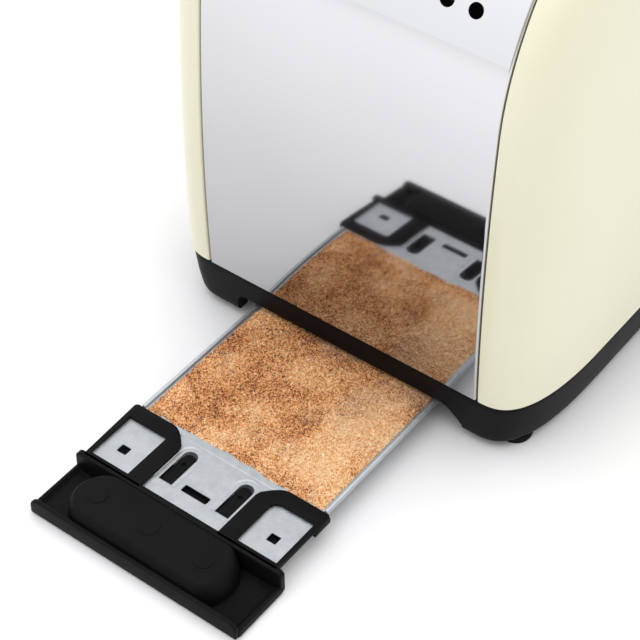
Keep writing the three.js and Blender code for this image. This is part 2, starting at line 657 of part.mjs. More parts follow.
// ---- Controls -----------------------------------------------------------------------------
function makeDial() {
  const skirt = bevelledBlock(circle(DIAL.y, DIAL.z, DIAL.radius), DIAL.x, 4, 0.9, 10);
  const grip = bevelledBlock(circle(DIAL.y, DIAL.z, DIAL.radius - 2.5), DIAL.x + 2, DIAL.depth - 2, 1, 9);
  const shaft = prism(circle(DIAL.y, DIAL.z, 3), 'x', 139.6, DIAL.x + 2, 4);
  const seat = prism(circle(DIAL.y, DIAL.z, 9.4), 'x', DIAL.x + DIAL.depth - 1, DIAL.x + DIAL.depth + 2, 8);
  const pointer = box(DIAL.x + DIAL.depth - 0.6, DIAL.x + DIAL.depth + 1, DIAL.y - 0.7, DIAL.y + 0.7,
    DIAL.z + 10, DIAL.z + 13);
  return skirt.add(grip).add(shaft).subtract(seat).subtract(pointer);
}

function makeDialCap() {
  const x = DIAL.x + DIAL.depth - 0.7;
  return prism(circle(DIAL.y, DIAL.z, 9), 'x', x, x + 1, 8);
}

function makeButton(z) {
  const { y, halfWidth, halfHeight, x, depth } = BUTTON;
  const outline = roundRect(y - halfWidth, y + halfWidth, z - halfHeight, z + halfHeight, 1.6);
  const cap = bevelledBlock(outline, x, depth, 0.7, 2);
  return cap.add(box(137.6, x + 1, y - 1.8, y + 1.8, z - 1.8, z + 1.8));
}

function makeCircuitBoard() {
  const { x, thick, halfWidth, low, high } = BOARD;
  const pieces = [box(x, x + thick, -halfWidth, halfWidth, low, high)];
  for (const z of BUTTON.z) {
    pieces.push(box(x + thick - 0.2, x + 4.4, BUTTON.y - 3, BUTTON.y + 3, z - 3, z + 3));
  }
  pieces.push(box(x - 9, x + 0.2, 24, 44, 30, 46));
  pieces.push(box(x - 7, x + 0.2, -44, -30, 34, 52));
  return union(pieces);
}

function makePotentiometer() {
  const x = BOARD.x + BOARD.thick + 0.3;
  return prism(circle(DIAL.y, DIAL.z, 8), 'x', x, 139.3, 5);
}

function makeTerminalBlock() {
  const block = box(84, 100, 32, 52, 21.6, 32);
  const wells = [36.5, 42, 47.5].map((y) => prism(circle(92, y, 1.9), 'z', 27, 34, 3));
  return block.subtract(union(wells));
}

class Coil extends THREE.Curve {
  constructor(radius, low, high, turns) {
    super();
    Object.assign(this, { radius, low, high, turns });
  }

  getPoint(t) {
    const angle = t * this.turns * Math.PI * 2;
    const z = this.low + t * (this.high - this.low);
    return new THREE.Vector3(this.radius * Math.cos(angle), this.radius * Math.sin(angle), z);
  }
}

// A tension spring on the +Y side of the carriage, from the bracket up to the chassis.
function makeLiftSpring() {
  const { low, high, radius, wire, turns } = SPRING;
  const geometry = new THREE.ExtrudeGeometry(circle(0, 0, wire), {
    steps: turns * 8,
    curveSegments: 2,
    bevelEnabled: false,
    extrudePath: new Coil(radius, low, high, turns),
  });
  geometry.translate(SPRING.x, SPRING.y, 0);
  return solid(geometry);
}

// ---- Assembly -----------------------------------------------------------------------------
addPart('base_moulding', makeBase(), blackPlastic());
addPart('base_deck', makeDeck(), blackPlastic());
addPart('tray_stop', makeTrayStop(), blackPlastic());
addPart('bottom_plate', makeBottomPlate(), galvanised());
addPart('cord_bushing', makeCordBushing(), rubber());
const ends = { tray_end: -1, lever_end: 1 };
const sides = { left: 1, right: -1 };
for (const [endName, end] of Object.entries(ends)) {
  for (const [sideName, side] of Object.entries(sides)) {
    const foot = addPart(`foot_${endName}_${sideName}`, makeFoot(), rubber());
    foot.position.set(end * FOOT.x, side * FOOT.y, WORKTOP_Z);
    const screw = addPart(`base_screw_${endName}_${sideName}`, makeBaseScrew(), plainSteel());
    screw.position.set(end * BASE_SCREW.x, side * BASE_SCREW.y, 0);
  }
}

addPart('steel_wrap', makeSteelWrap(), mirrorSteel());
addPart('side_panel_left', makeSidePanel(), creamPaint());
addPart('side_panel_right', makeSidePanel(), creamPaint()).rotation.z = Math.PI;
addPart('control_fascia', makeFascia(), blackPlastic());

addPart('chassis_plate_tray_end', makeChassisPlate(-1), galvanised());
addPart('chassis_plate_lever_end', makeChassisPlate(1), galvanised());
addPart('slot_frame', makeTopFrame(), plainSteel());
for (const [sideName, side] of Object.entries(sides)) {
  addPart(`tray_rail_${sideName}`, makeRail(side), blackPlastic());
  addPart(`reflector_${sideName}`, makeReflector(side), galvanised());
  addPart(`heater_outer_${sideName}`, makeHeater(side * HEATER.outerY), mica());
  addPart(`heater_inner_${sideName}`, makeHeater(side * HEATER.innerY), mica());
  addPart(`bread_guard_outer_${sideName}`, makeGuard(side, side), plainSteel());
  addPart(`bread_guard_inner_${sideName}`, makeGuard(side, -side), plainSteel());
  addPart(`guide_rod_${sideName}`, makeGuideRod(side), plainSteel());
  addPart(`bread_rack_${sideName}`, makeRack(side), plainSteel());
}

addPart('carriage_bracket', makeBracket(), galvanised());
addPart('lift_spring', makeLiftSpring(), plainSteel());
addPart('keeper_plate', makeKeeper(), plainSteel());
addPart('magnet_core', makeMagnetCore(), plainSteel());
addPart('magnet_coil', makeMagnetCoil(), copper());
addPart('lever_arm', makeLeverArm(), galvanised());
addPart('lever_knob', makeLeverKnob(), softTouch());
addPart('lever_trim', makeLeverTrim(), mirrorSteel());

addPart('browning_dial', makeDial(), softTouch());
addPart('dial_cap', makeDialCap(), mirrorSteel());
const buttonNames = ['button_defrost', 'button_reheat', 'button_cancel'];
buttonNames.forEach((name, k) => addPart(name, makeButton(BUTTON.z[k]), softTouch()));
addPart('circuit_board', makeCircuitBoard(), fibreglass());
addPart('potentiometer', makePotentiometer(), plainSteel());
addPart('terminal_block', makeTerminalBlock(), mica());

addPart('tray_sheet', makeTraySheet(), galvanised());
addPart('tray_handle', makeTrayHandle(), blackPlastic());

export default toaster;
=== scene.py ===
# %% [markdown]
# # A pop-up toaster with its crumb tray drawn out
# The toaster's solids come from the CAD frame, already in place and already jointed. This lesson gives each
# visible piece a finer mesh and a finish. A piece could be modelled anywhere and fitted afterwards, but here
# every place comes from the frame or from named sizes in the toaster's own millimetres, so nothing needs
# fitting. Each new piece rides on the CAD body that it belongs to, so the whole thing still moves.

# %% Load the frame
import json
import math

import bmesh
import bpy
import numpy as np
from mathutils import Matrix, Vector, noise


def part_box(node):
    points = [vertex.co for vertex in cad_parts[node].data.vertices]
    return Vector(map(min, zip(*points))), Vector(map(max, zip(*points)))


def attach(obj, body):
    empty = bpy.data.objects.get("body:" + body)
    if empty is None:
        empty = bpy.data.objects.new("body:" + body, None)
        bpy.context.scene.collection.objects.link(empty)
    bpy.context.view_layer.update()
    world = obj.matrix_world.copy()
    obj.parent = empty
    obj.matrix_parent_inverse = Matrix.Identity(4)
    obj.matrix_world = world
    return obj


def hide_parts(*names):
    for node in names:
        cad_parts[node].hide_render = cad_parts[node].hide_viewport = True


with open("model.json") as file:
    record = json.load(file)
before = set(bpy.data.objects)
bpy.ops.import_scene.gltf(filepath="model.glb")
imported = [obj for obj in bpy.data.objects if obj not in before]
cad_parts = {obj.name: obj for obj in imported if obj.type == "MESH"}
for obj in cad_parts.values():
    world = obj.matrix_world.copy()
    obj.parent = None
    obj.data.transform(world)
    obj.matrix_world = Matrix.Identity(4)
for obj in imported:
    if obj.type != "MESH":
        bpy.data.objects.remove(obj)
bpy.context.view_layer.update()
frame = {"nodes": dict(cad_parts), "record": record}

# %% [markdown]
# ## The camera
# The camera looks down on the tray's end. A camera can be aimed with a rotation, with a Track To constraint or
# with a point and two angles. The last is the easiest to read and to adjust. The lens is long, so the
# toaster's upright edges lean in only a little.

# %% Camera
CAMERA_AT = Vector((-0.51805, -0.3054, 0.5347))
HEADING = math.radians(37.2)
DIP = math.radians(42.72)
LENS_LENGTH, SENSOR_WIDTH = 112.3, 36
LENS_SHIFT = (0.02, -0.08)

lens = bpy.data.cameras.new("camera")
lens.lens = LENS_LENGTH
lens.sensor_width = SENSOR_WIDTH
lens.shift_x, lens.shift_y = LENS_SHIFT
camera = bpy.data.objects.new("camera", lens)
bpy.context.collection.objects.link(camera)
look = Vector((math.cos(DIP) * math.cos(HEADING), math.cos(DIP) * math.sin(HEADING), -math.sin(DIP)))
camera.location = CAMERA_AT
camera.rotation_euler = look.to_track_quat("-Z", "Y").to_euler()
bpy.context.scene.camera = camera
print("camera is", round(CAMERA_AT.length * 1000), "mm from the origin")

# %% [markdown]
# ## Node helpers
# Every finish here is a small node tree. The trees could be wired up by hand in the Shader Editor, but a few
# helpers keep each one down to the lines that matter. `add_node` takes a node's inputs as a dictionary: a
# socket is linked, and anything else is set as the input's value.


# %% Node helpers
def new_material(name):
    material = bpy.data.materials.new(name)
    material.use_nodes = True
    shader = material.node_tree.nodes["Principled BSDF"]
    return material, material.node_tree, shader


def add_node(tree, kind, inputs=(), **settings):
    made = tree.nodes.new(kind)
    for key, value in settings.items():
        setattr(made, key, value)
    for key, value in dict(inputs).items():
        if isinstance(value, bpy.types.NodeSocket):
            tree.links.new(value, made.inputs[key])
        else:
            made.inputs[key].default_value = value
    return made


def place_of(tree):
    return tree.nodes.new("ShaderNodeTexCoord").outputs["Object"]


def bump(tree, shader, height, strength, distance):
    """Tilts the shading by a height pattern. Distance is in metres."""
    inputs = {"Height": height, "Strength": strength, "Distance": distance}
    made = add_node(tree, "ShaderNodeBump", inputs)
    tree.links.new(made.outputs["Normal"], shader.inputs["Normal"])


def feed(tree, shader, color, roughness):
    tree.links.new(color, shader.inputs["Base Color"])
    tree.links.new(roughness, shader.inputs["Roughness"])


print("node helpers ready")

# %% [markdown]
# ## Patterns and colours
# A real surface is never one flat value: it has drifts, grain or crystals. Pictures could give these, but a
# procedural pattern has no seams and is measured in metres, so a grain keeps its true size on every piece.
# `spread` turns a pattern into a range of numbers, and `ramp` turns it into colours.


# %% Patterns and colours
def cloud(tree, scale, detail=4, roughness=0.5, stretch=None):
    """Soft noise, with scale in blobs per metre."""
    place = place_of(tree)
    if stretch:
        place = add_node(tree, "ShaderNodeMapping", {"Vector": place, "Scale": stretch}).outputs["Vector"]
    inputs = {"Vector": place, "Scale": scale, "Detail": detail, "Roughness": roughness}
    return add_node(tree, "ShaderNodeTexNoise", inputs).outputs["Fac"]


def cells(tree, scale, feature="F1"):
    """Crystals or grains, with scale in cells per metre."""
    inputs = {"Vector": place_of(tree), "Scale": scale}
    return add_node(tree, "ShaderNodeTexVoronoi", inputs, feature=feature)


def spread(tree, value, low, high, start=0.3, end=0.7):
    inputs = {"Value": value, "From Min": start, "From Max": end, "To Min": low, "To Max": high}
    return add_node(tree, "ShaderNodeMapRange", inputs).outputs["Result"]


def ramp(tree, value, stops):
    made = add_node(tree, "ShaderNodeValToRGB", {"Fac": value})
    elements = made.color_ramp.elements
    while len(elements) < len(stops):
        elements.new(0.5)
    for element, (position, color) in zip(elements, stops):
        element.position = position
        element.color = (*color, 1)
    return made.outputs["Color"]


def blend_colors(tree, factor, first, second, mode="MIX"):
    made = add_node(tree, "ShaderNodeMix", data_type="RGBA", blend_type=mode)
    for key, value in ((0, factor), (6, first), (7, second)):
        if isinstance(value, bpy.types.NodeSocket):
            tree.links.new(value, made.inputs[key])
        elif key == 0:
            made.inputs[key].default_value = value
        else:
            made.inputs[key].default_value = (*value, 1)
    return made.outputs[2]


print("patterns ready")

# %% [markdown]
# ## The white room
# A mirror-bright casing shows whatever stands round it, so the studio is as much a part of the look as the
# steel is. The room could be a box of lit planes, but their edges would show in the steel. A world colour has
# no edges: it is white all round and dims towards the camera's side, where nothing is lit.

# %% White room
ROOM_STRENGTH = 1.1
DIM_SIDE = (-0.72, -0.69, -0.05)
ROOM_TONES = [(0.4, (0.98, 0.985, 1.0)), (0.95, (0.38, 0.37, 0.36))]

scene = bpy.context.scene
scene.view_settings.view_transform = "Standard"
scene.world = bpy.data.worlds.new("studio")
scene.world.use_nodes = True
room = scene.world.node_tree
background = room.nodes["Background"]
background.inputs["Strength"].default_value = ROOM_STRENGTH
direction = room.nodes.new("ShaderNodeTexCoord").outputs["Generated"]
dimming = add_node(room, "ShaderNodeVectorMath", {0: direction, 1: DIM_SIDE}, operation="DOT_PRODUCT")
room.links.new(ramp(room, dimming.outputs["Value"], ROOM_TONES), background.inputs["Color"])
print("room strength", ROOM_STRENGTH)

# %% [markdown]
# ## The softbox
# One wide softbox hangs over the toaster. A sun or a spot would be brighter but would draw a hard shadow. An
# area lamp of two metres gives the soft, short shadow that a kitchen appliance has in a studio.

# %% Softbox
SOFTBOX_AT = Vector((-0.2, -0.1, 1.9))
SOFTBOX_SIDE = 2.2
SOFTBOX_WATTS = 20

lamp = bpy.data.lights.new("overhead", "AREA")
lamp.shape = "RECTANGLE"
lamp.size = lamp.size_y = SOFTBOX_SIDE
lamp.energy = SOFTBOX_WATTS
softbox = bpy.data.objects.new("overhead", lamp)
bpy.context.collection.objects.link(softbox)
softbox.location = SOFTBOX_AT
softbox.rotation_euler = (-SOFTBOX_AT).to_track_quat("-Z", "Y").to_euler()
print("softbox of", SOFTBOX_WATTS, "W")

# %% [markdown]
# ## Polished steel
# The wrap is polished stainless steel: almost a mirror, with a breath of haze that drifts over the sheet and
# brushing so fine that it barely widens a highlight. A plain mirror would look like chrome, so both colour and
# roughness follow the haze. A white room alone would leave the steel white from top to bottom, so painted shade
# darkens its colour towards the floor: it stands in for the dimmer, shaded floor that the steel reflects there.


# %% Polished steel
def polished_steel():
    material, tree, shader = new_material("polished_steel")
    shader.inputs["Metallic"].default_value = 1
    haze = cloud(tree, 14, detail=3)
    height = add_node(tree, "ShaderNodeSeparateXYZ", {"Vector": place_of(tree)}).outputs["Z"]
    # Painted shade: the colour darkens from 0.20 m down to 0.02 m above the floor, standing in for the shaded
    # floor reflected low on the steel.
    floor_shade_by_height = spread(tree, height, 0.0, 1.0, 0.02, 0.20)
    tone = ramp(tree, floor_shade_by_height, [(0.0, (0.46, 0.46, 0.475)), (0.4, (0.56, 0.56, 0.573)),
                              (0.7, (0.69, 0.69, 0.705)), (1.0, (0.88, 0.88, 0.895))])
    veil = ramp(tree, haze, [(0.3, (0.97, 0.97, 0.97)), (0.7, (1.0, 1.0, 1.0))])
    feed(tree, shader,
         color=blend_colors(tree, 1.0, tone, veil, "MULTIPLY"),
         roughness=spread(tree, haze, 0.035, 0.07))
    bump(tree, shader, cloud(tree, 900, detail=2, stretch=(1, 0.05, 1)), 0.03, 0.00004)
    return material


finishes = {"polished_steel": polished_steel()}
print("finished", *finishes)

# %% [markdown]
# ## Zinc, drawn steel and copper
# The tray is zinc-coated steel, which is paler than bare steel and scatters light, with faint crystals a
# millimetre or two wide. Voronoi cells have that look, where noise would give clouds. The racks and wires
# inside are plain drawn steel, so their noise is stretched into streaks. The coil's copper is noise squeezed
# into flat layers, like turns of wire.


# %% Zinc, drawn steel and copper
def galvanised_steel():
    material, tree, shader = new_material("galvanised_steel")
    shader.inputs["Metallic"].default_value = 0.75
    spangle = cells(tree, 700).outputs["Color"]
    crystals = add_node(tree, "ShaderNodeSeparateColor", {"Color": spangle}).outputs["Red"]
    tone = ramp(tree, crystals, [(0.0, (0.475, 0.50, 0.515)), (1.0, (0.52, 0.545, 0.56))])
    dull = cloud(tree, 160, detail=5, roughness=0.65)
    veil = ramp(tree, dull, [(0.3, (0.86, 0.87, 0.88)), (0.7, (1.0, 1.0, 1.0))])
    feed(tree, shader,
         color=blend_colors(tree, 1.0, tone, veil, "MULTIPLY"),
         roughness=spread(tree, crystals, 0.36, 0.5, 0, 1))
    bump(tree, shader, cloud(tree, 1500, detail=3), 0.12, 0.00008)
    return material


def drawn_steel():
    material, tree, shader = new_material("plain_steel")
    shader.inputs["Metallic"].default_value = 1
    streaks = cloud(tree, 400, stretch=(0.2, 1, 1))
    feed(tree, shader,
         color=ramp(tree, streaks, [(0.3, (0.42, 0.42, 0.43)), (0.7, (0.60, 0.60, 0.61))]),
         roughness=spread(tree, streaks, 0.25, 0.42))
    bump(tree, shader, cloud(tree, 2500, detail=2), 0.1, 0.00005)
    return material


def copper_winding():
    material, tree, shader = new_material("copper_winding")
    shader.inputs["Metallic"].default_value = 0.8
    turns = cloud(tree, 2500, detail=1, stretch=(0.02, 0.02, 1))
    feed(tree, shader,
         color=ramp(tree, turns, [(0.35, (0.22, 0.07, 0.02)), (0.6, (0.62, 0.26, 0.11))]),
         roughness=spread(tree, turns, 0.3, 0.5))
    bump(tree, shader, turns, 0.6, 0.0003)
    return material


finishes["galvanised_steel"] = galvanised_steel()
finishes["plain_steel"] = drawn_steel()
finishes["copper_winding"] = copper_winding()
print("finished", *finishes)

# %% [markdown]
# ## Black mouldings and rubber
# The black pieces come from a spark-eroded mould, which gives them a grain a fifth of a millimetre wide that
# breaks up the highlight. Modelling such a grain would take millions of faces, so it is a bump. One function
# makes every black, with its own grain, roughness and shine: the knobs are softer and greyer than the base,
# and the rubber is dull and coarse.


# %% Black mouldings and rubber
def moulded(name, low, high, rough, grain=4500, depth=0.00009, strength=0.25, shine=0.07):
    """A moulded black between the colours low and high, with grain in bumps per metre."""
    material, tree, shader = new_material(name)
    shader.inputs["Specular IOR Level"].default_value = shine
    patches = cloud(tree, 60, roughness=0.6)
    feed(tree, shader,
         color=ramp(tree, patches, [(0.3, low), (0.7, high)]),
         roughness=spread(tree, patches, *rough))
    bump(tree, shader, cloud(tree, grain, detail=2, roughness=0.6), strength, depth)
    return material


finishes["black_plastic"] = moulded("black_plastic", (0.0042, 0.0040, 0.0045), (0.0060, 0.0057, 0.0063),
                                    (0.44, 0.52))
finishes["soft_black"] = moulded("soft_black", (0.018, 0.018, 0.020), (0.024, 0.024, 0.027), (0.42, 0.5),
                                 shine=0.35)
finishes["rubber"] = moulded("rubber", (0.006, 0.006, 0.006), (0.010, 0.010, 0.010), (0.7, 0.85),
                             grain=2500, depth=0.0002, strength=0.4)
print("finished", *finishes)

# %% [markdown]
# ## Cream lacquer
# The sides are lacquered in a warm cream. The lacquer is glossy but not a mirror, and it has a very shallow
# orange peel, as sprayed lacquer has. A single glossy layer would look like wet paint, so a thin clear coat
# lies over a base that is rather rough.


# %% Cream lacquer
def cream_gloss():
    material, tree, shader = new_material("cream_gloss")
    shader.inputs["Coat Weight"].default_value = 0.35
    shader.inputs["Coat Roughness"].default_value = 0.12
    drift = cloud(tree, 25, detail=3)
    feed(tree, shader,
         color=ramp(tree, drift, [(0.3, (0.775, 0.755, 0.565)), (0.7, (0.795, 0.775, 0.585))]),
         roughness=spread(tree, drift, 0.30, 0.38))
    bump(tree, shader, cloud(tree, 700, detail=2), 0.08, 0.00006)
    return material


finishes["cream_gloss"] = cream_gloss()
print("finished", *finishes)

# %% [markdown]
# ## Boards
# Two boards are hidden inside and only show through the slots: the green circuit board with its copper tracks,
# and the mica that the heating ribbon is wound on. Their detail is very small, so it is left to cell patterns:
# cell edges make the tracks, and cell distances make mica's overlapping flakes.


# %% Boards
def circuit_green():
    material, tree, shader = new_material("circuit_board")
    tracks = cells(tree, 500, "DISTANCE_TO_EDGE").outputs["Distance"]
    feed(tree, shader,
         color=ramp(tree, tracks, [(0.04, (0.10, 0.22, 0.08)), (0.10, (0.015, 0.10, 0.045))]),
         roughness=spread(tree, cloud(tree, 300), 0.3, 0.5))
    bump(tree, shader, tracks, 0.2, 0.0001)
    return material


def mica_board():
    material, tree, shader = new_material("mica_board")
    flakes = cells(tree, 260).outputs["Distance"]
    feed(tree, shader,
         color=ramp(tree, flakes, [(0.0, (0.52, 0.43, 0.28)), (0.5, (0.36, 0.29, 0.18)),
                                   (1.0, (0.6, 0.52, 0.38))]),
         roughness=spread(tree, flakes, 0.45, 0.75, 0, 1))
    bump(tree, shader, flakes, 0.15, 0.0001)
    return material


finishes["circuit_board"] = circuit_green()
finishes["mica_board"] = mica_board()
print("finished", *finishes)

# %% [markdown]
# ## Finishes on the CAD pieces
# Many pieces inside the toaster are good enough as the CAD made them, so they keep their meshes and only get a
# finish. The record names each node's material slot, so one loop is enough, and no node can be forgotten.

# %% Finishes on the CAD pieces
for part in frame["record"]["subparts"]:
    cad_mesh = frame["nodes"][part["node"]].data
    cad_mesh.materials.clear()
    cad_mesh.materials.append(finishes[part["material_slot"]])

# %% [markdown]
# ## From millimetres to a mesh
# A maker thinks in millimetres from the middle of the casing, and Blender works in metres in the CAD's frame.
# So each shape is drawn in toaster millimetres and converted once, on the way into its mesh. Most casings
# here are lofts: the same outline drawn again and again while it shrinks or climbs, with faces between one
# ring and the next. Subdivision surfaces could make such forms too, but a loft keeps every size exact.

# %% From millimetres to a mesh
MM = 0.001
WORKTOP_Z = -3.5
base_low, base_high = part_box("base_moulding")
BODY_X = (base_low.x + base_high.x) / 2 / MM


def to_metres(points):
    """Toaster millimetres, with X from the middle of the body and the worktop at WORKTOP_Z, to metres."""
    return [((x + BODY_X) * MM, y * MM, (z - WORKTOP_Z) * MM) for x, y, z in points]


def to_toaster(point):
    return Vector((point.x / MM - BODY_X, point.y / MM, point.z / MM + WORKTOP_Z))


def new_piece(name, points, faces, metres=False):
    mesh = bpy.data.meshes.new(name)
    mesh.from_pydata(points if metres else to_metres(points), [], faces)
    mesh.update()
    piece = bpy.data.objects.new(name, mesh)
    bpy.context.collection.objects.link(piece)
    return piece


def face_outwards(piece):
    work = bmesh.new()
    work.from_mesh(piece.data)
    bmesh.ops.recalc_face_normals(work, faces=work.faces)
    work.to_mesh(piece.data)
    work.free()
    return piece


def open_loft(name, rings):
    """Faces from ring to ring, with no caps and with each ring left open."""
    count = len(rings[0])
    faces = [(level * count + k, level * count + k + 1, (level + 1) * count + k + 1, (level + 1) * count + k)
             for level in range(len(rings) - 1) for k in range(count - 1)]
    return new_piece(name, [point for ring in rings for point in ring], faces)


def solid_loft(name, rings):
    """A closed solid: faces from ring to ring, and a cap on the first and on the last."""
    count = len(rings[0])
    faces = []
    for level in range(len(rings) - 1):
        for k in range(count):
            a = level * count + k
            b = level * count + (k + 1) % count
            faces.append((a, b, b + count, a + count))
    last = (len(rings) - 1) * count
    faces.append(tuple(reversed(range(count))))
    faces.append(tuple(range(last, last + count)))
    return face_outwards(new_piece(name, [point for ring in rings for point in ring], faces))


print("body's middle is at x =", round(BODY_X, 1), "mm")

# %% [markdown]
# ## Outlines and blocks
# Mouldings and punched holes start from a flat outline of straights and arcs. A curve object with an extrusion
# could do that too. A plain list of points is simpler here, because the same outline can be scaled, mirrored
# and pushed along any axis.


# %% Outlines and blocks
def prism(name, outline, low, high, axis="z"):
    """Pushes a flat outline along an axis. Its coordinates are (y, z), (x, z) or (x, y)."""
    order = {"x": (2, 0, 1), "y": (0, 2, 1), "z": (0, 1, 2)}[axis]
    return solid_loft(name, [[tuple((*point, level)[k] for k in order) for point in outline]
                             for level in (low, high)])


def block(name, x, y, z):
    return prism(name, [(x[0], y[0]), (x[1], y[0]), (x[1], y[1]), (x[0], y[1])], *z)


def arc(a, b, radius, start, end, steps):
    turns = [math.radians(start + (end - start) * k / steps) for k in range(steps + 1)]
    return [(a + radius * math.cos(t), b + radius * math.sin(t)) for t in turns]


def round_rect(a0, a1, b0, b1, r, steps=6):
    return (arc(a1 - r, b0 + r, r, -90, 0, steps) + arc(a1 - r, b1 - r, r, 0, 90, steps)
            + arc(a0 + r, b1 - r, r, 90, 180, steps) + arc(a0 + r, b0 + r, r, 180, 270, steps))


def circle(a, b, radius, steps=32):
    return arc(a, b, radius, 0, 360, steps)[:-1]


print("a round corner has", len(arc(0, 0, 1, 0, 90, 6)), "points")

# %% [markdown]
# ## Cutting, joining and softening
# Holes are punched and ribs are joined with Blender's exact boolean, which is slower than the fast one but much
# more dependable. No real edge is perfectly sharp, so a bevel then rounds it by a few tenths of a millimetre,
# and that is what catches the light. Each modifier is turned into plain mesh at once, so a piece is always
# what it looks like.


# %% Cutting, joining and softening
def settle(piece):
    """Turns a piece's modifiers into plain mesh."""
    graph = bpy.context.evaluated_depsgraph_get()
    done = bpy.data.meshes.new_from_object(piece.evaluated_get(graph))
    piece.modifiers.clear()
    piece.data = done
    return piece


def combine(piece, tools, operation):
    for tool in tools:
        step = piece.modifiers.new("step", "BOOLEAN")
        step.operation = operation
        step.object = tool
        step.solver = "EXACT"
    settle(piece)
    for tool in tools:
        bpy.data.objects.remove(tool)
    return piece


def carve(piece, *tools):
    return combine(piece, tools, "DIFFERENCE")


def fuse(piece, *tools):
    return combine(piece, tools, "UNION")


def soften(piece, width, segments=2, angle=35):
    """Rounds every edge sharper than angle by width millimetres."""
    edge = piece.modifiers.new("edge", "BEVEL")
    edge.width = width * MM
    edge.segments = segments
    edge.limit_method = "ANGLE"
    edge.angle_limit = math.radians(angle)
    return settle(piece)


def shade(piece, angle=35):
    piece.data.shade_smooth()
    piece.data.set_sharp_from_angle(angle=math.radians(angle))
    return piece


def finish_piece(piece, body, slot, *nodes, finish=None):
    """Gives a piece the finish of its slot, or the finish named, puts it on its body and hides the CAD nodes it
    stands in for.
    """
    piece.data.materials.clear()
    piece.data.materials.append(finishes[finish or slot])
    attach(piece, body)
    if nodes:
        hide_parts(*nodes)
    print(piece.name, "has", len(piece.data.polygons), "faces")


print("tools ready")

# %% [markdown]
# ## The casing's two curves
# Two curves make the whole casing. Seen from the side, each end rises almost straight, bows out by under two
# millimetres and then rolls over in two arcs to the flat top. Seen from above, each corner is a superellipse:
# it leaves the end face gently and tightens towards the side. Moving the first curve inwards while the second
# one turns gives the pillow shape of the cream sides. A sculpted mesh could be as soft, but its reflections
# would wobble, and these run as true as a press tool's.

# %% The casing's curves
HALF_LENGTH = 143
SEAM_Y = 60
JOIN_Z = 21.5
TILT_AT_FOOT = math.radians(-3.45)
END_ARCS = [(938, 7.15, 20), (90, 35, 30), (50, 51.3, 36)]
CORNER_Y, CORNER_REACH, CORNER_DEPTH, CORNER_POWER = 60.5, 21.5, 57.4, 2 / 2.89


def end_arcs():
    """Centre, radius, first and last angle and steps of each arc of the tray end."""
    arcs = []
    tilt, x, z = TILT_AT_FOOT, -HALF_LENGTH, JOIN_Z
    for radius, sweep, steps in END_ARCS:
        cx, cz = x + radius * math.cos(tilt), z - radius * math.sin(tilt)
        last = tilt + math.radians(sweep)
        arcs.append((cx, cz, radius, tilt, last, steps))
        x, z, tilt = cx - radius * math.cos(last), cz + radius * math.sin(last), last
    return arcs


def end_curve(inset=0):
    points = []
    for cx, cz, radius, first, last, steps in end_arcs():
        for k in range(0 if not points else 1, steps + 1):
            angle = first + (last - first) * k / steps
            reach = radius - inset
            points.append((cx - reach * math.cos(angle), cz + reach * math.sin(angle)))
    points[0] = (points[0][0], JOIN_Z)
    return points


def whole_curve(inset):
    rise = end_curve(inset)
    return rise + [(-x, z) for x, z in reversed(rise)]


def corner_point(angle):
    y = CORNER_Y + CORNER_REACH * math.sin(angle) ** CORNER_POWER
    return y, CORNER_DEPTH * (1 - math.cos(angle) ** CORNER_POWER)


TOP_Z = end_curve()[-1][1]
print("casing is", round(TOP_Z - WORKTOP_Z, 1), "mm high")

# %% [markdown]
# ## The wrap's strip
# One strip of polished sheet climbs one end, crosses the top and comes down the other end, with its long edges
# turned in. It could be a bent plane with a thickness, but then its edges would be square. Drawing the strip's
# own cross-section, turned edges included, and carrying it along the curve gives the fine bright line that
# runs beside each seam.

# %% Wrap strip
WRAP_THICK = 0.8
EDGE_ROUND = 0.9
EDGE_TURN = 2.6


def wrap_section():
    """(y, inset) round the strip's cross-section, its turned edges included."""
    rounded = [(SEAM_Y - EDGE_ROUND + EDGE_ROUND * math.cos(math.radians(a)),
                EDGE_ROUND - EDGE_ROUND * math.sin(math.radians(a))) for a in range(0, 91, 15)]
    half = [(SEAM_Y, EDGE_TURN)] + rounded
    back = [(SEAM_Y - WRAP_THICK, EDGE_TURN), (SEAM_Y - WRAP_THICK, WRAP_THICK + 0.2)]
    outer = half + [(-y, inset) for y, inset in reversed(half)]
    inner = [(-y, inset) for y, inset in back] + list(reversed(back))
    return outer + inner


columns = [[(x, y, z) for x, z in whole_curve(inset)] for y, inset in wrap_section()]
wrap = solid_loft("steel_wrap_skin", list(zip(*columns)))
print("the strip has", len(wrap.data.polygons), "faces before it is punched")

# %% [markdown]
# ## Holes in the wrap
# Warm air leaves through a row of nine round vents on each shoulder. The slices drop through two long slots in
# the top, and the lever end has a slot for the lever and holes for the dial and three buttons. The vents are
# drilled square to the sheet, so their cutters lean with the shoulder's arc.

# %% Holes in the wrap
VENT_COUNT, VENT_PITCH, VENT_RADIUS, VENT_INSET = 9, 10.7, 2.7, 10.5
SLOT_Y, SLOT_WIDTH, SLOT_HALF_LENGTH, SLOT_CORNER = 28, 34, 70, 6
LEVER_SLOT_Z, LEVER_SLOT_HALF = (82, 164), 3.5
DIAL_Y, DIAL_Z, DIAL_HOLE_RADIUS = 24, 52, 4.2
BUTTON_Y, BUTTON_Z, BUTTON_HOLE_HALF = -26, (65, 52, 39), 3
CUT_DEPTH = 6


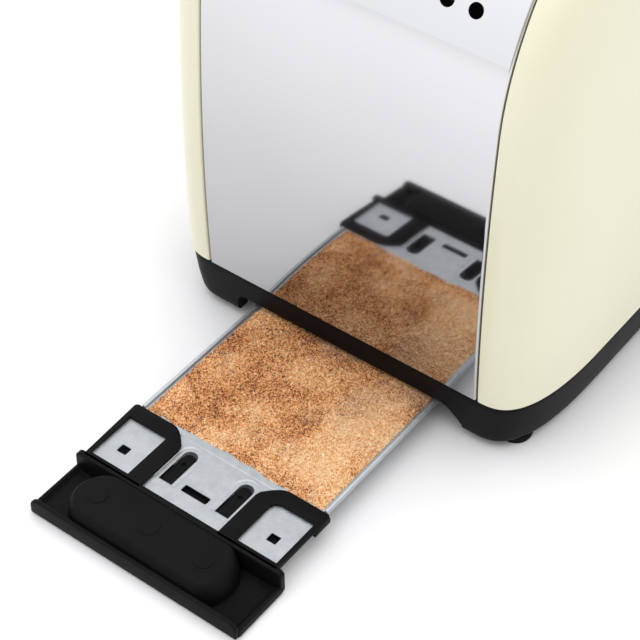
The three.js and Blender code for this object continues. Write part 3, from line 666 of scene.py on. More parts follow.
def vent_cutters():
    cx, cz, radius, *_ = end_arcs()[1]
    tilt = math.acos((cx + HALF_LENGTH - VENT_INSET) / radius)
    made = []
    for end in (-1, 1):
        axis = Vector((end * math.cos(tilt), 0, math.sin(tilt)))
        turn = axis.to_track_quat("Z", "Y").to_matrix()
        centre = Vector((end * -cx, 0, cz)) + axis * radius
        for k in range(VENT_COUNT):
            middle = centre + Vector((0, (k - (VENT_COUNT - 1) / 2) * VENT_PITCH, 0))
            rings = [[tuple(middle + turn @ Vector((a, b, depth))) for a, b in circle(0, 0, VENT_RADIUS, 28)]
                     for depth in (-CUT_DEPTH, CUT_DEPTH)]
            made.append(solid_loft("vent", rings))
    return made


def slot_cutter(side):
    outline = round_rect(-SLOT_HALF_LENGTH, SLOT_HALF_LENGTH, side * SLOT_Y - SLOT_WIDTH / 2,
                         side * SLOT_Y + SLOT_WIDTH / 2, SLOT_CORNER, 8)
    return prism("slot", outline, TOP_Z - CUT_DEPTH, TOP_Z + CUT_DEPTH)


def end_cutters():
    reach = (HALF_LENGTH - 25, HALF_LENGTH + 10)
    half = BUTTON_HOLE_HALF
    lever = round_rect(-LEVER_SLOT_HALF, LEVER_SLOT_HALF, *LEVER_SLOT_Z, LEVER_SLOT_HALF - 0.1)
    buttons = [round_rect(BUTTON_Y - half, BUTTON_Y + half, z - half, z + half, 0.8) for z in BUTTON_Z]
    return [prism("end_hole", outline, *reach, axis="x")
            for outline in (lever, circle(DIAL_Y, DIAL_Z, DIAL_HOLE_RADIUS), *buttons)]


carve(wrap, slot_cutter(-1), slot_cutter(1), *vent_cutters(), *end_cutters())
print("the punched strip has", len(wrap.data.polygons), "faces")

# %% [markdown]
# ## Polishing the wrap
# A mirror shows every facet. More facets would only make them smaller, and the long thin faces between the
# holes would still spoil the averaged normals. So the outer face's shading normals are written from the
# curve's own formula, and the reflections run as smoothly as on polished sheet.

# %% Polish
OUTER_FACE_MATCH = 0.9999


def curve_normal(x, z):
    """Outward direction of the casing's end curve at a point on it."""
    end = -1 if x < 0 else 1
    for cx, cz, _, first, last, _ in end_arcs():
        angle = math.atan2(z - cz, cx + end * x)
        if first - 0.002 <= angle <= last + 0.002:
            return Vector((end * math.cos(angle), 0, math.sin(angle)))
    return Vector((0, 0, 1))


def polish_normals(piece):
    mesh = piece.data
    normals = [Vector(corner.vector) for corner in mesh.corner_normals]
    for face in mesh.polygons:
        middle = to_toaster(face.center)
        if face.normal.dot(curve_normal(middle.x, middle.z)) < OUTER_FACE_MATCH:
            continue
        for corner in face.loop_indices:
            point = to_toaster(mesh.vertices[mesh.loops[corner].vertex_index].co)
            normals[corner] = curve_normal(point.x, point.z)
    mesh.normals_split_custom_set(normals)


polish_normals(shade(wrap, 30))
finish_piece(wrap, "body", "polished_steel", "steel_wrap")

# %% [markdown]
# ## The cream sides
# Each side is a thin lacquered shell. Its rings follow the end curve, moved inwards as the corner turns. The
# last few rings shrink towards the middle of the side and rise by a third of a millimetre, so the large face
# is slightly crowned and its reflection doesn't stop at an edge. Only the outside has to be drawn: a Solidify
# modifier gives the shell its thickness.

# %% Cream sides
PANEL_THICK = 2.0
PANEL_LIP = 3.0
PANEL_ROUND = 0.9
CORNER_STEPS = 30
LAST_INSET = 43
CROWN = 0.35
CROWN_RINGS = (0.93, 0.82, 0.66, 0.46, 0.24)


def side_rings(side):
    edge = [(CORNER_Y, PANEL_LIP)]
    edge += [(CORNER_Y + PANEL_ROUND * (1 - math.cos(math.radians(a))),
              PANEL_ROUND * (1 - math.sin(math.radians(a)))) for a in range(0, 90, 15)]
    first = math.asin((PANEL_ROUND / CORNER_REACH) ** (1 / CORNER_POWER))
    last = math.acos((1 - LAST_INSET / CORNER_DEPTH) ** (1 / CORNER_POWER))
    edge += [corner_point(first + (last - first) * k / CORNER_STEPS) for k in range(CORNER_STEPS + 1)]
    rings = [[(x, side * y, z) for x, z in whole_curve(inset)] for y, inset in edge]
    rim, rim_y = rings[-1], edge[-1][0]
    for shrink in CROWN_RINGS:
        y = rim_y + CROWN * (1 - shrink ** 2)
        rings.append([(x * shrink, side * y, JOIN_Z + (z - JOIN_Z) * shrink) for x, _, z in rim])
    return rings


def make_side(name, side):
    rings = side_rings(side)
    piece = open_loft(name, rings)
    work = bmesh.new()
    work.from_mesh(piece.data)
    work.verts.ensure_lookup_table()
    count = len(rings[0])
    last = (len(rings) - 1) * count
    work.faces.new([work.verts[last + k] for k in range(count)])
    bmesh.ops.remove_doubles(work, verts=work.verts, dist=1e-6)
    bmesh.ops.recalc_face_normals(work, faces=work.faces)
    middle = max(work.faces, key=lambda face: face.calc_area())
    if middle.normal.y * side < 0:
        bmesh.ops.reverse_faces(work, faces=work.faces)
    work.to_mesh(piece.data)
    work.free()
    shell = piece.modifiers.new("shell", "SOLIDIFY")
    shell.thickness = PANEL_THICK * MM
    shell.offset = -1
    return shade(settle(piece), 40)


finish_piece(make_side("cream_side_left", 1), "body", "cream_gloss", "side_panel_left")
finish_piece(make_side("cream_side_right", -1), "body", "cream_gloss", "side_panel_right")

# %% [markdown]
# ## The base moulding
# The black base repeats the casing's plan, a little smaller, and tapers to a rounded lower edge. It is a wall
# all round, with a pad for each foot and a notch with a slanting cheek where the tray comes out. A bevelled
# box can't taper and follow the corners at once, so the wall is a loft of plan outlines with a smaller loft
# carved out of it.

# %% Base moulding
BASE_TOP = JOIN_Z - 0.3
DECK_Z = 18.5
DECK_INSET = 4.4
BASE_LEVELS = [(0.0, 4.4), (0.1, 3.95), (0.4, 3.5), (0.9, 3.1), (2.1, 2.75), (4.0, 2.4), (6.5, 2.05),
               (9.0, 1.7), (13, 1.3), (18, 0.8), (BASE_TOP - 0.5, 0.6), (BASE_TOP - 0.15, 0.72), (BASE_TOP, 1.1)]
CAVITY_LEVELS = [(-1, 8.6), (5, 7.6), (DECK_Z, DECK_INSET), (BASE_TOP + 1, DECK_INSET)]
# Painted shade: the notch's left side is narrower than its right, and the extra strip of black wall stands in
# for the shade under the base there.
NOTCH_LEFT_SHADE_FILLED = [(49.2, -1), (49.2, 5.2), (48.2, 8.2), (47.0, 9.2), (44.8, 9.8)]
NOTCH_RIGHT = [(-53.5, -1), (-53.5, 2.6), (-51.3, 5.2), (-48.2, 8.2), (-47.0, 9.2), (-44.8, 9.8)]
CORD_Y, CORD_Z, CORD_HOLE_RADIUS = 40, 12, 5.35
FOOT_X, FOOT_Y, FOOT_RADIUS, PEG_RADIUS = 126.4, 67.9, 6.5, 3.2


def plan_ring(inset, z, steps=20):
    quarter = []
    for k in range(steps + 1):
        y, depth = corner_point(math.pi / 2 * k / steps)
        quarter.append((HALF_LENGTH - depth, y))
    back = quarter[::-1]
    outline = (quarter + [(-x, y) for x, y in back]
               + [(-x, -y) for x, y in quarter] + [(x, -y) for x, y in back])
    half_width = CORNER_Y + CORNER_REACH
    return [(x * (1 - inset / HALF_LENGTH), y * (1 - inset / half_width), z) for x, y in outline]


def weld(piece):
    """Joins points that lie on one another."""
    work = bmesh.new()
    work.from_mesh(piece.data)
    bmesh.ops.remove_doubles(work, verts=work.verts, dist=1e-6)
    work.to_mesh(piece.data)
    work.free()
    return piece


def posts(x, y, radius, low, high):
    """Four upright cylinders, one at each corner of a rectangle."""
    return [prism("post", circle(end * x, side * y, radius), low, high)
            for end in (-1, 1) for side in (-1, 1)]


def make_base():
    base = weld(solid_loft("base_skirt", [plan_ring(inset, z) for z, inset in BASE_LEVELS]))
    cavity = solid_loft("cavity", [plan_ring(inset, z, 8) for z, inset in CAVITY_LEVELS])
    notch = prism("notch", NOTCH_LEFT_SHADE_FILLED + NOTCH_RIGHT[::-1], -HALF_LENGTH - 5, -HALF_LENGTH + 33, axis="x")
    outlet = prism("outlet", circle(CORD_Y, CORD_Z, CORD_HOLE_RADIUS), 130, 150, axis="x")
    carve(base, cavity)
    fuse(base, *posts(FOOT_X, FOOT_Y, FOOT_RADIUS - 0.4, 0.05, DECK_Z - 0.1))
    holes = posts(FOOT_X, FOOT_Y, PEG_RADIUS + 0.3, -1, 9)
    return shade(carve(base, notch, outlet, *holes))


finish_piece(make_base(), "body", "black_plastic", "base_moulding")

# %% [markdown]
# ## Deck, rails and stop
# Inside the wall a deck carries the toast well and takes the four base screws. Two rails under it guide the
# tray, and a stop behind them ends its way in. These could be part of the base's own mesh. As pieces of their
# own, each can be softened by itself, and each stands in for one CAD node.

# %% Deck, rails and stop
WELL_HALF_LENGTH, WELL_HALF_WIDTH, WELL_CORNER = 76, 44, 4
SCREW_X, SCREW_Y = 100, 62
BOSS_RADIUS, BORE_RADIUS, SEAT_RADIUS = 5.5, 1.9, 3.9
BOSS_LOW, SEAT_TOP, BORE_TOP = 5, 7.8, 16
RAIL_X, RAIL_INNER, RAIL_OUTER, RAIL_LOW = (-108, 94.8), 45.6, 47.4, 3.5
STOP_X = (95, 97)


def make_deck():
    deck = solid_loft("deck_plate", [plan_ring(DECK_INSET + 0.2, z, 8) for z in (DECK_Z, BASE_TOP)])
    well = round_rect(-WELL_HALF_LENGTH, WELL_HALF_LENGTH, -WELL_HALF_WIDTH, WELL_HALF_WIDTH, WELL_CORNER)
    carve(deck, prism("well", well, DECK_Z - 1, BASE_TOP + 1))
    fuse(deck, *posts(SCREW_X, SCREW_Y, BOSS_RADIUS, BOSS_LOW, DECK_Z + 1))
    carve(deck, *posts(SCREW_X, SCREW_Y, BORE_RADIUS, 0, BORE_TOP),
          *posts(SCREW_X, SCREW_Y, SEAT_RADIUS, 0, SEAT_TOP))
    return shade(soften(deck, 0.2, 1))


def make_rail(name, x, y):
    return shade(soften(block(name, x, y, (RAIL_LOW, DECK_Z - 0.1)), 0.25))


finish_piece(make_deck(), "body", "black_plastic", "base_deck")
finish_piece(make_rail("guide_rail_left", RAIL_X, (RAIL_INNER, RAIL_OUTER)), "body", "black_plastic",
             "tray_rail_left")
finish_piece(make_rail("guide_rail_right", RAIL_X, (-RAIL_OUTER, -RAIL_INNER)), "body", "black_plastic",
             "tray_rail_right")
finish_piece(make_rail("rear_stop", STOP_X, (-RAIL_OUTER, RAIL_OUTER)), "body", "black_plastic", "tray_stop")

# %% [markdown]
# ## The browning dial
# The dial is a soft black knob with finger flutes round its grip. It could be a cylinder with 24 cuts, which
# would leave 24 sharp grooves. Instead one profile is carried round the axis and its radius is rippled where
# the grip is, so each flute fades in and out. A cream line on the face shows which number it points at.

# %% Browning dial
FLUTES, STEPS_PER_FLUTE = 24, 6
DIAL_FACE = 159.3
DIAL_PROFILE = [(139.6, 3.0, 0), (148.3, 3.0, 0), (148.3, 15.7, 0), (148.6, 16.3, 0), (149.2, 16.5, 0),
                (151.4, 16.5, 0), (152.0, 16.1, 0), (152.3, 15.2, 0), (152.4, 14.0, 0.6), (153.2, 14.0, 0.6),
                (157.8, 13.7, 0.6), (158.7, 13.3, 0.45), (159.2, 12.6, 0.1), (DIAL_FACE, 11.8, 0),
                (DIAL_FACE, 9.6, 0), (159.1, 9.3, 0), (158.4, 9.25, 0)]


def make_dial():
    """Turns DIAL_PROFILE, a list of (x, radius, depth of the ripple)."""
    rings = []
    for x, radius, ripple in DIAL_PROFILE:
        ring = []
        for k in range(FLUTES * STEPS_PER_FLUTE):
            turn = 2 * math.pi * k / (FLUTES * STEPS_PER_FLUTE)
            r = radius - ripple * (0.5 + 0.5 * math.cos(FLUTES * turn)) ** 2
            ring.append((x, DIAL_Y + r * math.cos(turn), DIAL_Z + r * math.sin(turn)))
        rings.append(ring)
    return shade(solid_loft("dial_knob", rings), 30)


finish_piece(make_dial(), "dial", "soft_black", "browning_dial")
pointer = block("dial_pointer", (DIAL_FACE - 0.3, DIAL_FACE + 0.2), (DIAL_Y - 0.6, DIAL_Y + 0.6),
                (DIAL_Z + 9.9, DIAL_Z + 12.6))
finish_piece(pointer, "dial", "cream_gloss")

# %% [markdown]
# ## The dial's scale
# Six ticks and the numbers 1 to 6 are printed round the dial. Print could be a mask in the fascia's material,
# but its edges would be as soft as the pattern that draws it. Thin raised shapes have clean edges at any size.
# They follow the fascia's curve, and the numbers are a text object's letter shapes turned into mesh.

# %% Dial scale
FASCIA_PROUD = 3.2
SCALE_COUNT, SCALE_START, SCALE_STEP = 6, 225, 54
TICK_INNER, TICK_OUTER, TICK_HALF_WIDTH = 17.4, 18.9, 0.3
NUMBER_RADIUS, NUMBER_SIZE, NUMBER_RAISE = 21.2, 4.2, 0.2


def fascia_x(z):
    first_arc = end_curve()[:END_ARCS[0][2] + 1]
    rise = sorted(first_arc, key=lambda point: point[1])
    x = float(np.interp(z, [point[1] for point in rise], [point[0] for point in rise]))
    return -x + FASCIA_PROUD


def make_tick(name, angle):
    a, b = math.cos(angle), math.sin(angle)
    w = TICK_HALF_WIDTH
    corners = [(TICK_INNER, -w), (TICK_OUTER, -w), (TICK_OUTER, w), (TICK_INNER, w)]
    flat = [(DIAL_Y + r * a - w * b, DIAL_Z + r * b + w * a) for r, w in corners]
    return solid_loft(name, [[(fascia_x(z) + lift, y, z) for y, z in flat] for lift in (-0.4, 0.12)])


def make_numeral(text, angle):
    letters = bpy.data.curves.new("numeral", "FONT")
    letters.body = text
    letters.size = NUMBER_SIZE * MM
    letters.extrude = NUMBER_RAISE * MM
    letters.align_x = letters.align_y = "CENTER"
    y, z = DIAL_Y + NUMBER_RADIUS * math.cos(angle), DIAL_Z + NUMBER_RADIUS * math.sin(angle)
    holder = bpy.data.objects.new("numeral", letters)
    bpy.context.collection.objects.link(holder)
    mesh = bpy.data.meshes.new_from_object(holder.evaluated_get(bpy.context.evaluated_depsgraph_get()))
    bpy.data.objects.remove(holder)
    place = Vector(to_metres([(fascia_x(z) - 0.05, y, z)])[0])
    turn = Matrix(((0, 0, 1), (1, 0, 0), (0, 1, 0))).to_4x4()
    mesh.transform(Matrix.Translation(place) @ turn)
    piece = bpy.data.objects.new(f"scale_number_{text}", mesh)
    bpy.context.collection.objects.link(piece)
    return piece


for k in range(SCALE_COUNT):
    angle = math.radians(SCALE_START - SCALE_STEP * k)
    finish_piece(make_tick(f"scale_tick_{k + 1}", angle), "body", "cream_gloss")
    finish_piece(make_numeral(str(k + 1), angle), "body", "cream_gloss")

# %% [markdown]
# ## The crumb tray's sheet
# The tray is a thin zinc-coated plate. Its front part sits a hair lower, past a crease, and it has two square
# holes, a centre slot and two round-ended slots whose rims are pressed in. The crease and the rims could be
# bump, but light catches them at a low angle, so they are cut. Along the sides the edges are rolled, which
# stiffens the sheet and keeps fingers safe: each is a slim bead of its own.

# %% Tray sheet
HANDLE_FRONT = 3.3
LIP_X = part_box("tray_handle")[0].x / MM - BODY_X - HANDLE_FRONT
SHEET_Z, SHEET_TOP, CREASE_STEP = 4.8, 5.6, 0.2
SHEET_FRONT, CREASE, SHEET_BACK, SHEET_HALF = 30.4, 56.5, 235, 41.8
TONGUE_Y, U_SLOT_RADIUS, U_SLOT_FRONT, U_SLOT_CENTRE = 12.6, 2.9, 37, 50.6
CENTRE_SLOT_X, CENTRE_SLOT_HALF = (37.0, 40.2), 5.6
SQUARE_X, SQUARE_Y, SQUARE_HALF = (37.6, 41.2), 33.5, 2
RIM_LEVELS = [(SHEET_TOP - 0.42, 1.75), (SHEET_TOP - 0.2, 1.95), (SHEET_TOP + 1, 1.95)]
PUNCH_Z = (0, 9)


def u_slot(side, grow):
    y = side * TONGUE_Y
    r = U_SLOT_RADIUS + grow
    front = LIP_X + U_SLOT_FRONT - grow * 0.2
    return [(front, y - r)] + arc(LIP_X + U_SLOT_CENTRE, y, r, -90, 90, 12) + [(front, y + r)]


def pressed_rim(side):
    """A cutter for the shallow step round a slot."""
    return solid_loft("rim", [[(x, y, z) for x, y in u_slot(side, grow)] for z, grow in RIM_LEVELS])


def make_tray_sheet():
    low_top = SHEET_TOP - CREASE_STEP
    outline = [(SHEET_FRONT, SHEET_Z), (SHEET_FRONT, low_top), (CREASE, low_top), (CREASE + 0.35, SHEET_TOP),
               (SHEET_BACK, SHEET_TOP), (SHEET_BACK, SHEET_Z)]
    sheet = prism("tray_plate", [(LIP_X + u, z) for u, z in outline], -SHEET_HALF, SHEET_HALF, axis="y")
    slot = round_rect(LIP_X + CENTRE_SLOT_X[0], LIP_X + CENTRE_SLOT_X[1], -CENTRE_SLOT_HALF, CENTRE_SLOT_HALF,
                      0.6, 3)
    cutters = [prism("hole", slot, *PUNCH_Z)]
    for side in (-1, 1):
        square = round_rect(LIP_X + SQUARE_X[0], LIP_X + SQUARE_X[1], side * SQUARE_Y - SQUARE_HALF,
                            side * SQUARE_Y + SQUARE_HALF, 0.4, 3)
        cutters += [pressed_rim(side), prism("u_slot", u_slot(side, 0), *PUNCH_Z),
                    prism("square", square, *PUNCH_Z)]
    carve(sheet, *cutters)
    return shade(soften(sheet, 0.12, 1), 20)


def make_rolled_edge(name, side):
    section = circle(side * (SHEET_HALF - 0.75), SHEET_TOP + 0.35, 0.8, 20)
    bead = prism(name, section, LIP_X + 58.9, LIP_X + SHEET_BACK, axis="x")
    return shade(soften(bead, 0.25), 40)


finish_piece(make_tray_sheet(), "crumb_tray", "galvanised_steel", "tray_sheet")
for side, word in ((1, "left"), (-1, "right")):
    finish_piece(make_rolled_edge(f"rolled_edge_{word}", side), "crumb_tray", "galvanised_steel")

# %% [markdown]
# ## The handle's trough and walls
# The tray is pulled out by a black moulding with thin walls: a shallow trough just above the worktop, a low
# lip in front and a higher ridge behind, both with rounded upper corners. Walls could be given to a box
# by Solidify, but the real trough's walls slope as they do in any mould, so it is a loft with a second loft
# carved out.

# %% Trough and walls
GRIP_LOW, GRIP_FLOOR, GRIP_TOP, GRIP_BACK, GRIP_CORNER = -3.2, -2.0, 0.0, 29.9, 2.2
GRIP_LEVELS = [(0.9, 45.5, GRIP_LOW), (0.35, 45.95, GRIP_LOW + 0.3), (0.1, 46.2, GRIP_LOW + 0.9),
               (0, 45.9, GRIP_TOP - 0.3), (0.25, 45.6, GRIP_TOP)]
POCKET_LEVELS = [(2.2, 42.6, GRIP_FLOOR), (1.7, 43.4, GRIP_FLOOR + 0.5), (1.5, 44.5, GRIP_TOP - 0.2),
                 (1.5, 44.7, GRIP_TOP + 5)]
LEDGE_X, LEDGE_Y, LEDGE_Z = (25.8, 28), (38, 43.5), (GRIP_FLOOR - 0.3, GRIP_FLOOR + 0.5)


def grip_ring(inset, half_width, z):
    outline = round_rect(HANDLE_FRONT + inset, GRIP_BACK - inset, -half_width, half_width, GRIP_CORNER)
    return [(LIP_X + u, y, z) for u, y in outline]


def across(u_pair):
    """A pair of distances behind the handle's front, as toaster millimetres."""
    return LIP_X + u_pair[0], LIP_X + u_pair[1]


def mirrored(pair, side):
    """A pair of half widths, moved to the left (1) or right (-1) side."""
    return tuple(sorted((side * pair[0], side * pair[1])))


def make_trough():
    trough = solid_loft("tray_grip", [grip_ring(*level) for level in GRIP_LEVELS])
    carve(trough, solid_loft("pocket", [grip_ring(*level) for level in POCKET_LEVELS]))
    fuse(trough, *[block("ledge", across(LEDGE_X), mirrored(LEDGE_Y, side), LEDGE_Z) for side in (-1, 1)])
    return soften(trough, 0.3, 2, 40)


def upright(name, u_pair, half_width, top, corner):
    """A wall across the tray, with its two upper corners rounded."""
    outline = ([(-half_width, GRIP_LOW + 0.3), (half_width, GRIP_LOW + 0.3)]
               + arc(half_width - corner, top - corner, corner, 0, 90, 8)
               + arc(corner - half_width, top - corner, corner, 90, 180, 8))
    return soften(prism(name, outline, *across(u_pair), axis="x"), 0.4, 3, 50)


trough = make_trough()
print("the trough has", len(trough.data.polygons), "faces")

# %% [markdown]
# ## The handle's bulge
# A long smooth bulge covers the finger recess, and three faint discs on it are where ejector pins pushed the
# moulding out. A stretched sphere would be too thin at its ends. The bulge is a stadium whose rings shrink on
# a quarter circle, steep at the left end and the back and sloping away at the right end.

# %% Bulge and handle
BULGE_X, BULGE_TOP, BULGE_FRONT, BULGE_BACK, BULGE_END = 16.0, 7.2, 11.2, 12.4, 11.2
BULGE_LEFT, BULGE_RIGHT = 24.6, -24.6
BULGE_STEPS = 14
FRONT_LEAN, BACK_LEAN, LEFT_LEAN, RIGHT_LEAN = 4.2, 1.6, 2.2, 6.8
RIGHT_FOOT, RIGHT_TOP = 8.8, 2.0
DISC_RADIUS, DISC_Y = 3.9, (26, 2.5, -21.3)
DISC_LEVELS = [(BULGE_TOP - 1.5, 0), (BULGE_TOP + 0.12, 0), (BULGE_TOP + 0.22, 0.12)]
RECESS_TOP, RECESS_INSETS = 4.8, (2.6, 4.2, 2.6, 6.2)
LIP_BACK, LIP_HALF, LIP_TOP, LIP_CORNER = HANDLE_FRONT + 1.7, 45.7, 4.0, 3.5


def bulge_ring(z, front_inset, back_inset, left_inset, right_reach):
    def along(turn):
        reach = BULGE_BACK - back_inset if math.cos(turn) > 0 else BULGE_FRONT - front_inset
        return LIP_X + BULGE_X + reach * math.cos(turn)

    turns = [math.pi * k / BULGE_STEPS for k in range(BULGE_STEPS + 1)]
    left = [(along(t), BULGE_LEFT + (BULGE_END - left_inset) * math.sin(t), z) for t in turns]
    right = [(along(math.pi - t), BULGE_RIGHT - right_reach * math.sin(t), z) for t in turns]
    return left + right


def make_bulge():
    foot, shoulder = GRIP_FLOOR + 0.4, BULGE_TOP - 0.15
    rings = [bulge_ring(GRIP_LOW + 0.3, 0, 0, 0, 9.0), bulge_ring(foot, 0, 0, 0, RIGHT_FOOT)]
    for k in range(1, BULGE_STEPS + 1):
        turn = math.pi / 2 * k / BULGE_STEPS
        z = foot + (shoulder - foot) * math.sin(turn)
        lean = 1 - math.cos(turn)
        rings.append(bulge_ring(z, FRONT_LEAN * lean, BACK_LEAN * lean, LEFT_LEAN * lean,
                                RIGHT_FOOT - RIGHT_LEAN * lean))
    for shrink, lift in ((1.6, 0.08), (3.6, 0.14)):
        rings.append(bulge_ring(shoulder + lift, FRONT_LEAN + shrink, BACK_LEAN + shrink, LEFT_LEAN + shrink,
                                RIGHT_TOP - shrink * 0.3))
    return solid_loft("bulge", rings)


def ejector_disc(y):
    return solid_loft("disc", [[(a, b, z) for a, b in circle(LIP_X + BULGE_X + 1, y, DISC_RADIUS - inset)]
                               for z, inset in DISC_LEVELS])


def make_handle(trough):
    lip = upright("lip", (HANDLE_FRONT, LIP_BACK), LIP_HALF, LIP_TOP, LIP_CORNER)
    fuse(trough, lip, fuse(make_bulge(), *[ejector_disc(y) for y in DISC_Y]))
    carve(trough, solid_loft("recess", [bulge_ring(z, *RECESS_INSETS) for z in (GRIP_LOW - 1, RECESS_TOP)]))
    return shade(trough, 32)


finish_piece(make_handle(trough), "crumb_tray", "black_plastic", "tray_handle")

# %% [markdown]
# ## Ridge, clamp frames and tongues
# Behind the ridge, two open D-shaped frames clamp the sheet from above, and a bar with two round-ended tongues
# holds it from below, so the tongues show dark in the sheet's slots. On the real handle this is all one
# moulding. Here the ridge, frames, bar and tongues are separate solids that meet, since one large boolean of
# so many faces that almost touch tends to drop some.

# %% Ridge, clamp frames and tongues
RIDGE_X, RIDGE_HALF, RIDGE_TOP, RIDGE_CORNER = (27.4, GRIP_BACK), 45.8, 6.8, 2.2
TIE_X, TIE_HALF, TIE_Z = (28, 46), 38, (2.1, 3.3)
FRAME_LOW, FRAME_TOP, FRAME_END, FRAME_OUTER = 5.7, 6.8, 58.3, 43.8
SKIRT_INNER, SKIRT_TOP = SHEET_HALF + 0.4, FRAME_LOW + 0.3
TONGUE_HALF, TONGUE_X, TONGUE_Z = 2.7, (28, 52.5), (2.1, 4.5)
DIMPLE_X, DIMPLE_RADIUS, DIMPLE_Z = 47.3, 0.9, (3.6, 6)
WINDOW_CORNERS = {1: [(50.8, 24.2), (51.7, 24.5), (52, 25.4)], -1: [(49.0, 24.2), (50.9, 25.1), (52, 27.2)]}


def frame_outline(side):
    end = FRAME_END
    points = [(28.5, 17.2), (end - 8.2, 17.2), (end - 6.0, 17.8), (end - 3.0, 20.6), (end - 1.2, 22.8),
              (end - 0.3, 24.6), (end, 26.4), (end, 42.8), (end - 1, FRAME_OUTER), (28.5, FRAME_OUTER - 1)]
    return [(LIP_X + u, side * y) for u, y in points]


def window_outline(side):
    points = [(30.8, 24.2), *WINDOW_CORNERS[side], (52, 41.4), (30.8, 41.4)]
    return [(LIP_X + u, side * y) for u, y in points]


def make_frame(name, side):
    bars = prism(name, frame_outline(side), FRAME_LOW, FRAME_TOP)
    deep = block("skirt", across((FRAME_END - 9, FRAME_END - 0.4)), mirrored((SKIRT_INNER, FRAME_OUTER), side),
                 (3.8, SKIRT_TOP))
    shallow = block("skirt", across((28, FRAME_END - 8)), mirrored((SKIRT_INNER, FRAME_OUTER - 1), side),
                    (4.4, SKIRT_TOP))
    fuse(bars, deep, shallow)
    carve(bars, prism("window", window_outline(side), FRAME_LOW - 1, FRAME_TOP + 1))
    return shade(soften(bars, 0.3, 2, 40), 32)


def make_tongue(name, side):
    y = side * TONGUE_Y
    front, end = across(TONGUE_X)
    outline = ([(front, y - TONGUE_HALF)] + arc(end - TONGUE_HALF, y, TONGUE_HALF, -90, 90, 10)
               + [(front, y + TONGUE_HALF)])
    tongue = prism(name, outline, *TONGUE_Z)
    carve(tongue, prism("dimple", circle(LIP_X + DIMPLE_X, y, DIMPLE_RADIUS, 16), *DIMPLE_Z))
    return shade(soften(tongue, 0.25))


ridge = upright("tray_ridge", RIDGE_X, RIDGE_HALF, RIDGE_TOP, RIDGE_CORNER)
finish_piece(shade(ridge, 32), "crumb_tray", "black_plastic")
tie = soften(block("tray_tie", across(TIE_X), (-TIE_HALF, TIE_HALF), TIE_Z), 0.3)
finish_piece(shade(tie), "crumb_tray", "black_plastic")
for side, word in ((1, "left"), (-1, "right")):
    finish_piece(make_frame(f"clamp_frame_{word}", side), "crumb_tray", "black_plastic")
    finish_piece(make_tongue(f"tongue_{word}", side), "crumb_tray", "black_plastic")

# %% [markdown]
# ## The feet
# Four rubber feet are pushed into the base by a peg. A foot is a turned shape, so its profile is spun round
# its axis. A cylinder with a bevel would be close, but it has no peg and the same rounding above and below.

# %% Rubber feet
FOOT_PROFILE = [(0.01, -3.5), (5.3, -3.5), (6.05, -3.3), (6.4, -2.8), (FOOT_RADIUS, -1.8), (6.4, -0.6),
                (6.1, -0.25), (PEG_RADIUS, -0.25), (PEG_RADIUS, 7.6), (0.01, 7.6)]


def spin(name, x, y, profile):
    """Turns a profile of (radius, height) round a vertical axis."""
    rings = [[(x + a, y + b, z) for a, b in circle(0, 0, radius, 40)] for radius, z in profile]
    return solid_loft(name, rings)


for end_name, end in (("tray_end", -1), ("lever_end", 1)):
    for side_name, side in (("left", 1), ("right", -1)):
        node = f"foot_{end_name}_{side_name}"
        foot = spin(f"rubber_{node}", end * FOOT_X, side * FOOT_Y, FOOT_PROFILE)
        finish_piece(shade(foot), "body", "rubber", node)

# %% [markdown]
# ## The crumb bed
# A heap of crumbs has two scales. Up close it is grains, but as a whole it is a bumpy bed, deeper in the middle
# and thin at its ragged front. The bed is made first, as a fine height field closed into a solid. Sculpting
# could give the same bumps, but a sum of noises at four sizes is repeatable and easy to adjust.

# %% Crumb bed
BED_FRONT, BED_BACK, BED_HALF = 58.4, 218, 39.4
BED_STEP = 0.7
FRONT_EASE, SIDE_EASE = 11, 6


def wander(x, y, scale, seed):
    return noise.noise(Vector((x * scale, y * scale, seed)))


def bed_front(y):
    """How far the crumbs reach towards the handle, which varies across the tray."""
    gap = 0.6 + 0.8 * max(0, 1 - (abs(y) / 26) ** 2)
    return BED_FRONT + gap + 0.9 * wander(0, y, 0.11, 3.7) + 0.7 * wander(0, y, 0.45, 9.1)


def bed_height(u, y):
    inside = u - bed_front(y)
    if inside <= 0:
        return SHEET_TOP - 0.3
    from_side = BED_HALF - abs(y)
    ease = min(1, inside / FRONT_EASE) ** 0.7 * min(1, max(0, from_side + 0.4) / SIDE_EASE) ** 0.6
    heap = 1.35 + 0.55 * wander(u, y, 0.035, 1.3) + 0.35 * wander(u, y, 0.12, 5.2)
    rough = 0.16 * wander(u, y, 0.9, 2.2) + 0.12 * wander(u, y, 2.1, 4.4)
    return SHEET_TOP + max(0, ease * (heap + rough))


def make_bed():
    us = np.arange(BED_FRONT - 2, BED_BACK, BED_STEP)
    ys = np.arange(-BED_HALF, BED_HALF + 0.01, BED_STEP)
    top = [(LIP_X + u, y, bed_height(u, y)) for u in us for y in ys]
    floor = [(x, y, SHEET_TOP - 0.35) for x, y, _ in top]
    rows, columns = len(us), len(ys)
    corners = [i * columns + j for i in range(rows - 1) for j in range(columns - 1)]
    faces = [(a, a + columns, a + columns + 1, a + 1) for a in corners]
    under = [tuple(k + len(top) for k in reversed(face)) for face in faces]
    last_row = (rows - 1) * columns
    rim = ([i * columns for i in range(rows)] + [last_row + j for j in range(1, columns)]
           + [i * columns + columns - 1 for i in range(rows - 2, -1, -1)] + list(range(columns - 2, 0, -1)))
    walls = [(b, a, a + len(top), b + len(top)) for a, b in zip(rim, rim[1:] + rim[:1])]
    return face_outwards(new_piece("crumb_bed", top + floor, faces + under + walls))


bed = make_bed()
print("the crumb bed has", len(bed.data.polygons), "faces")

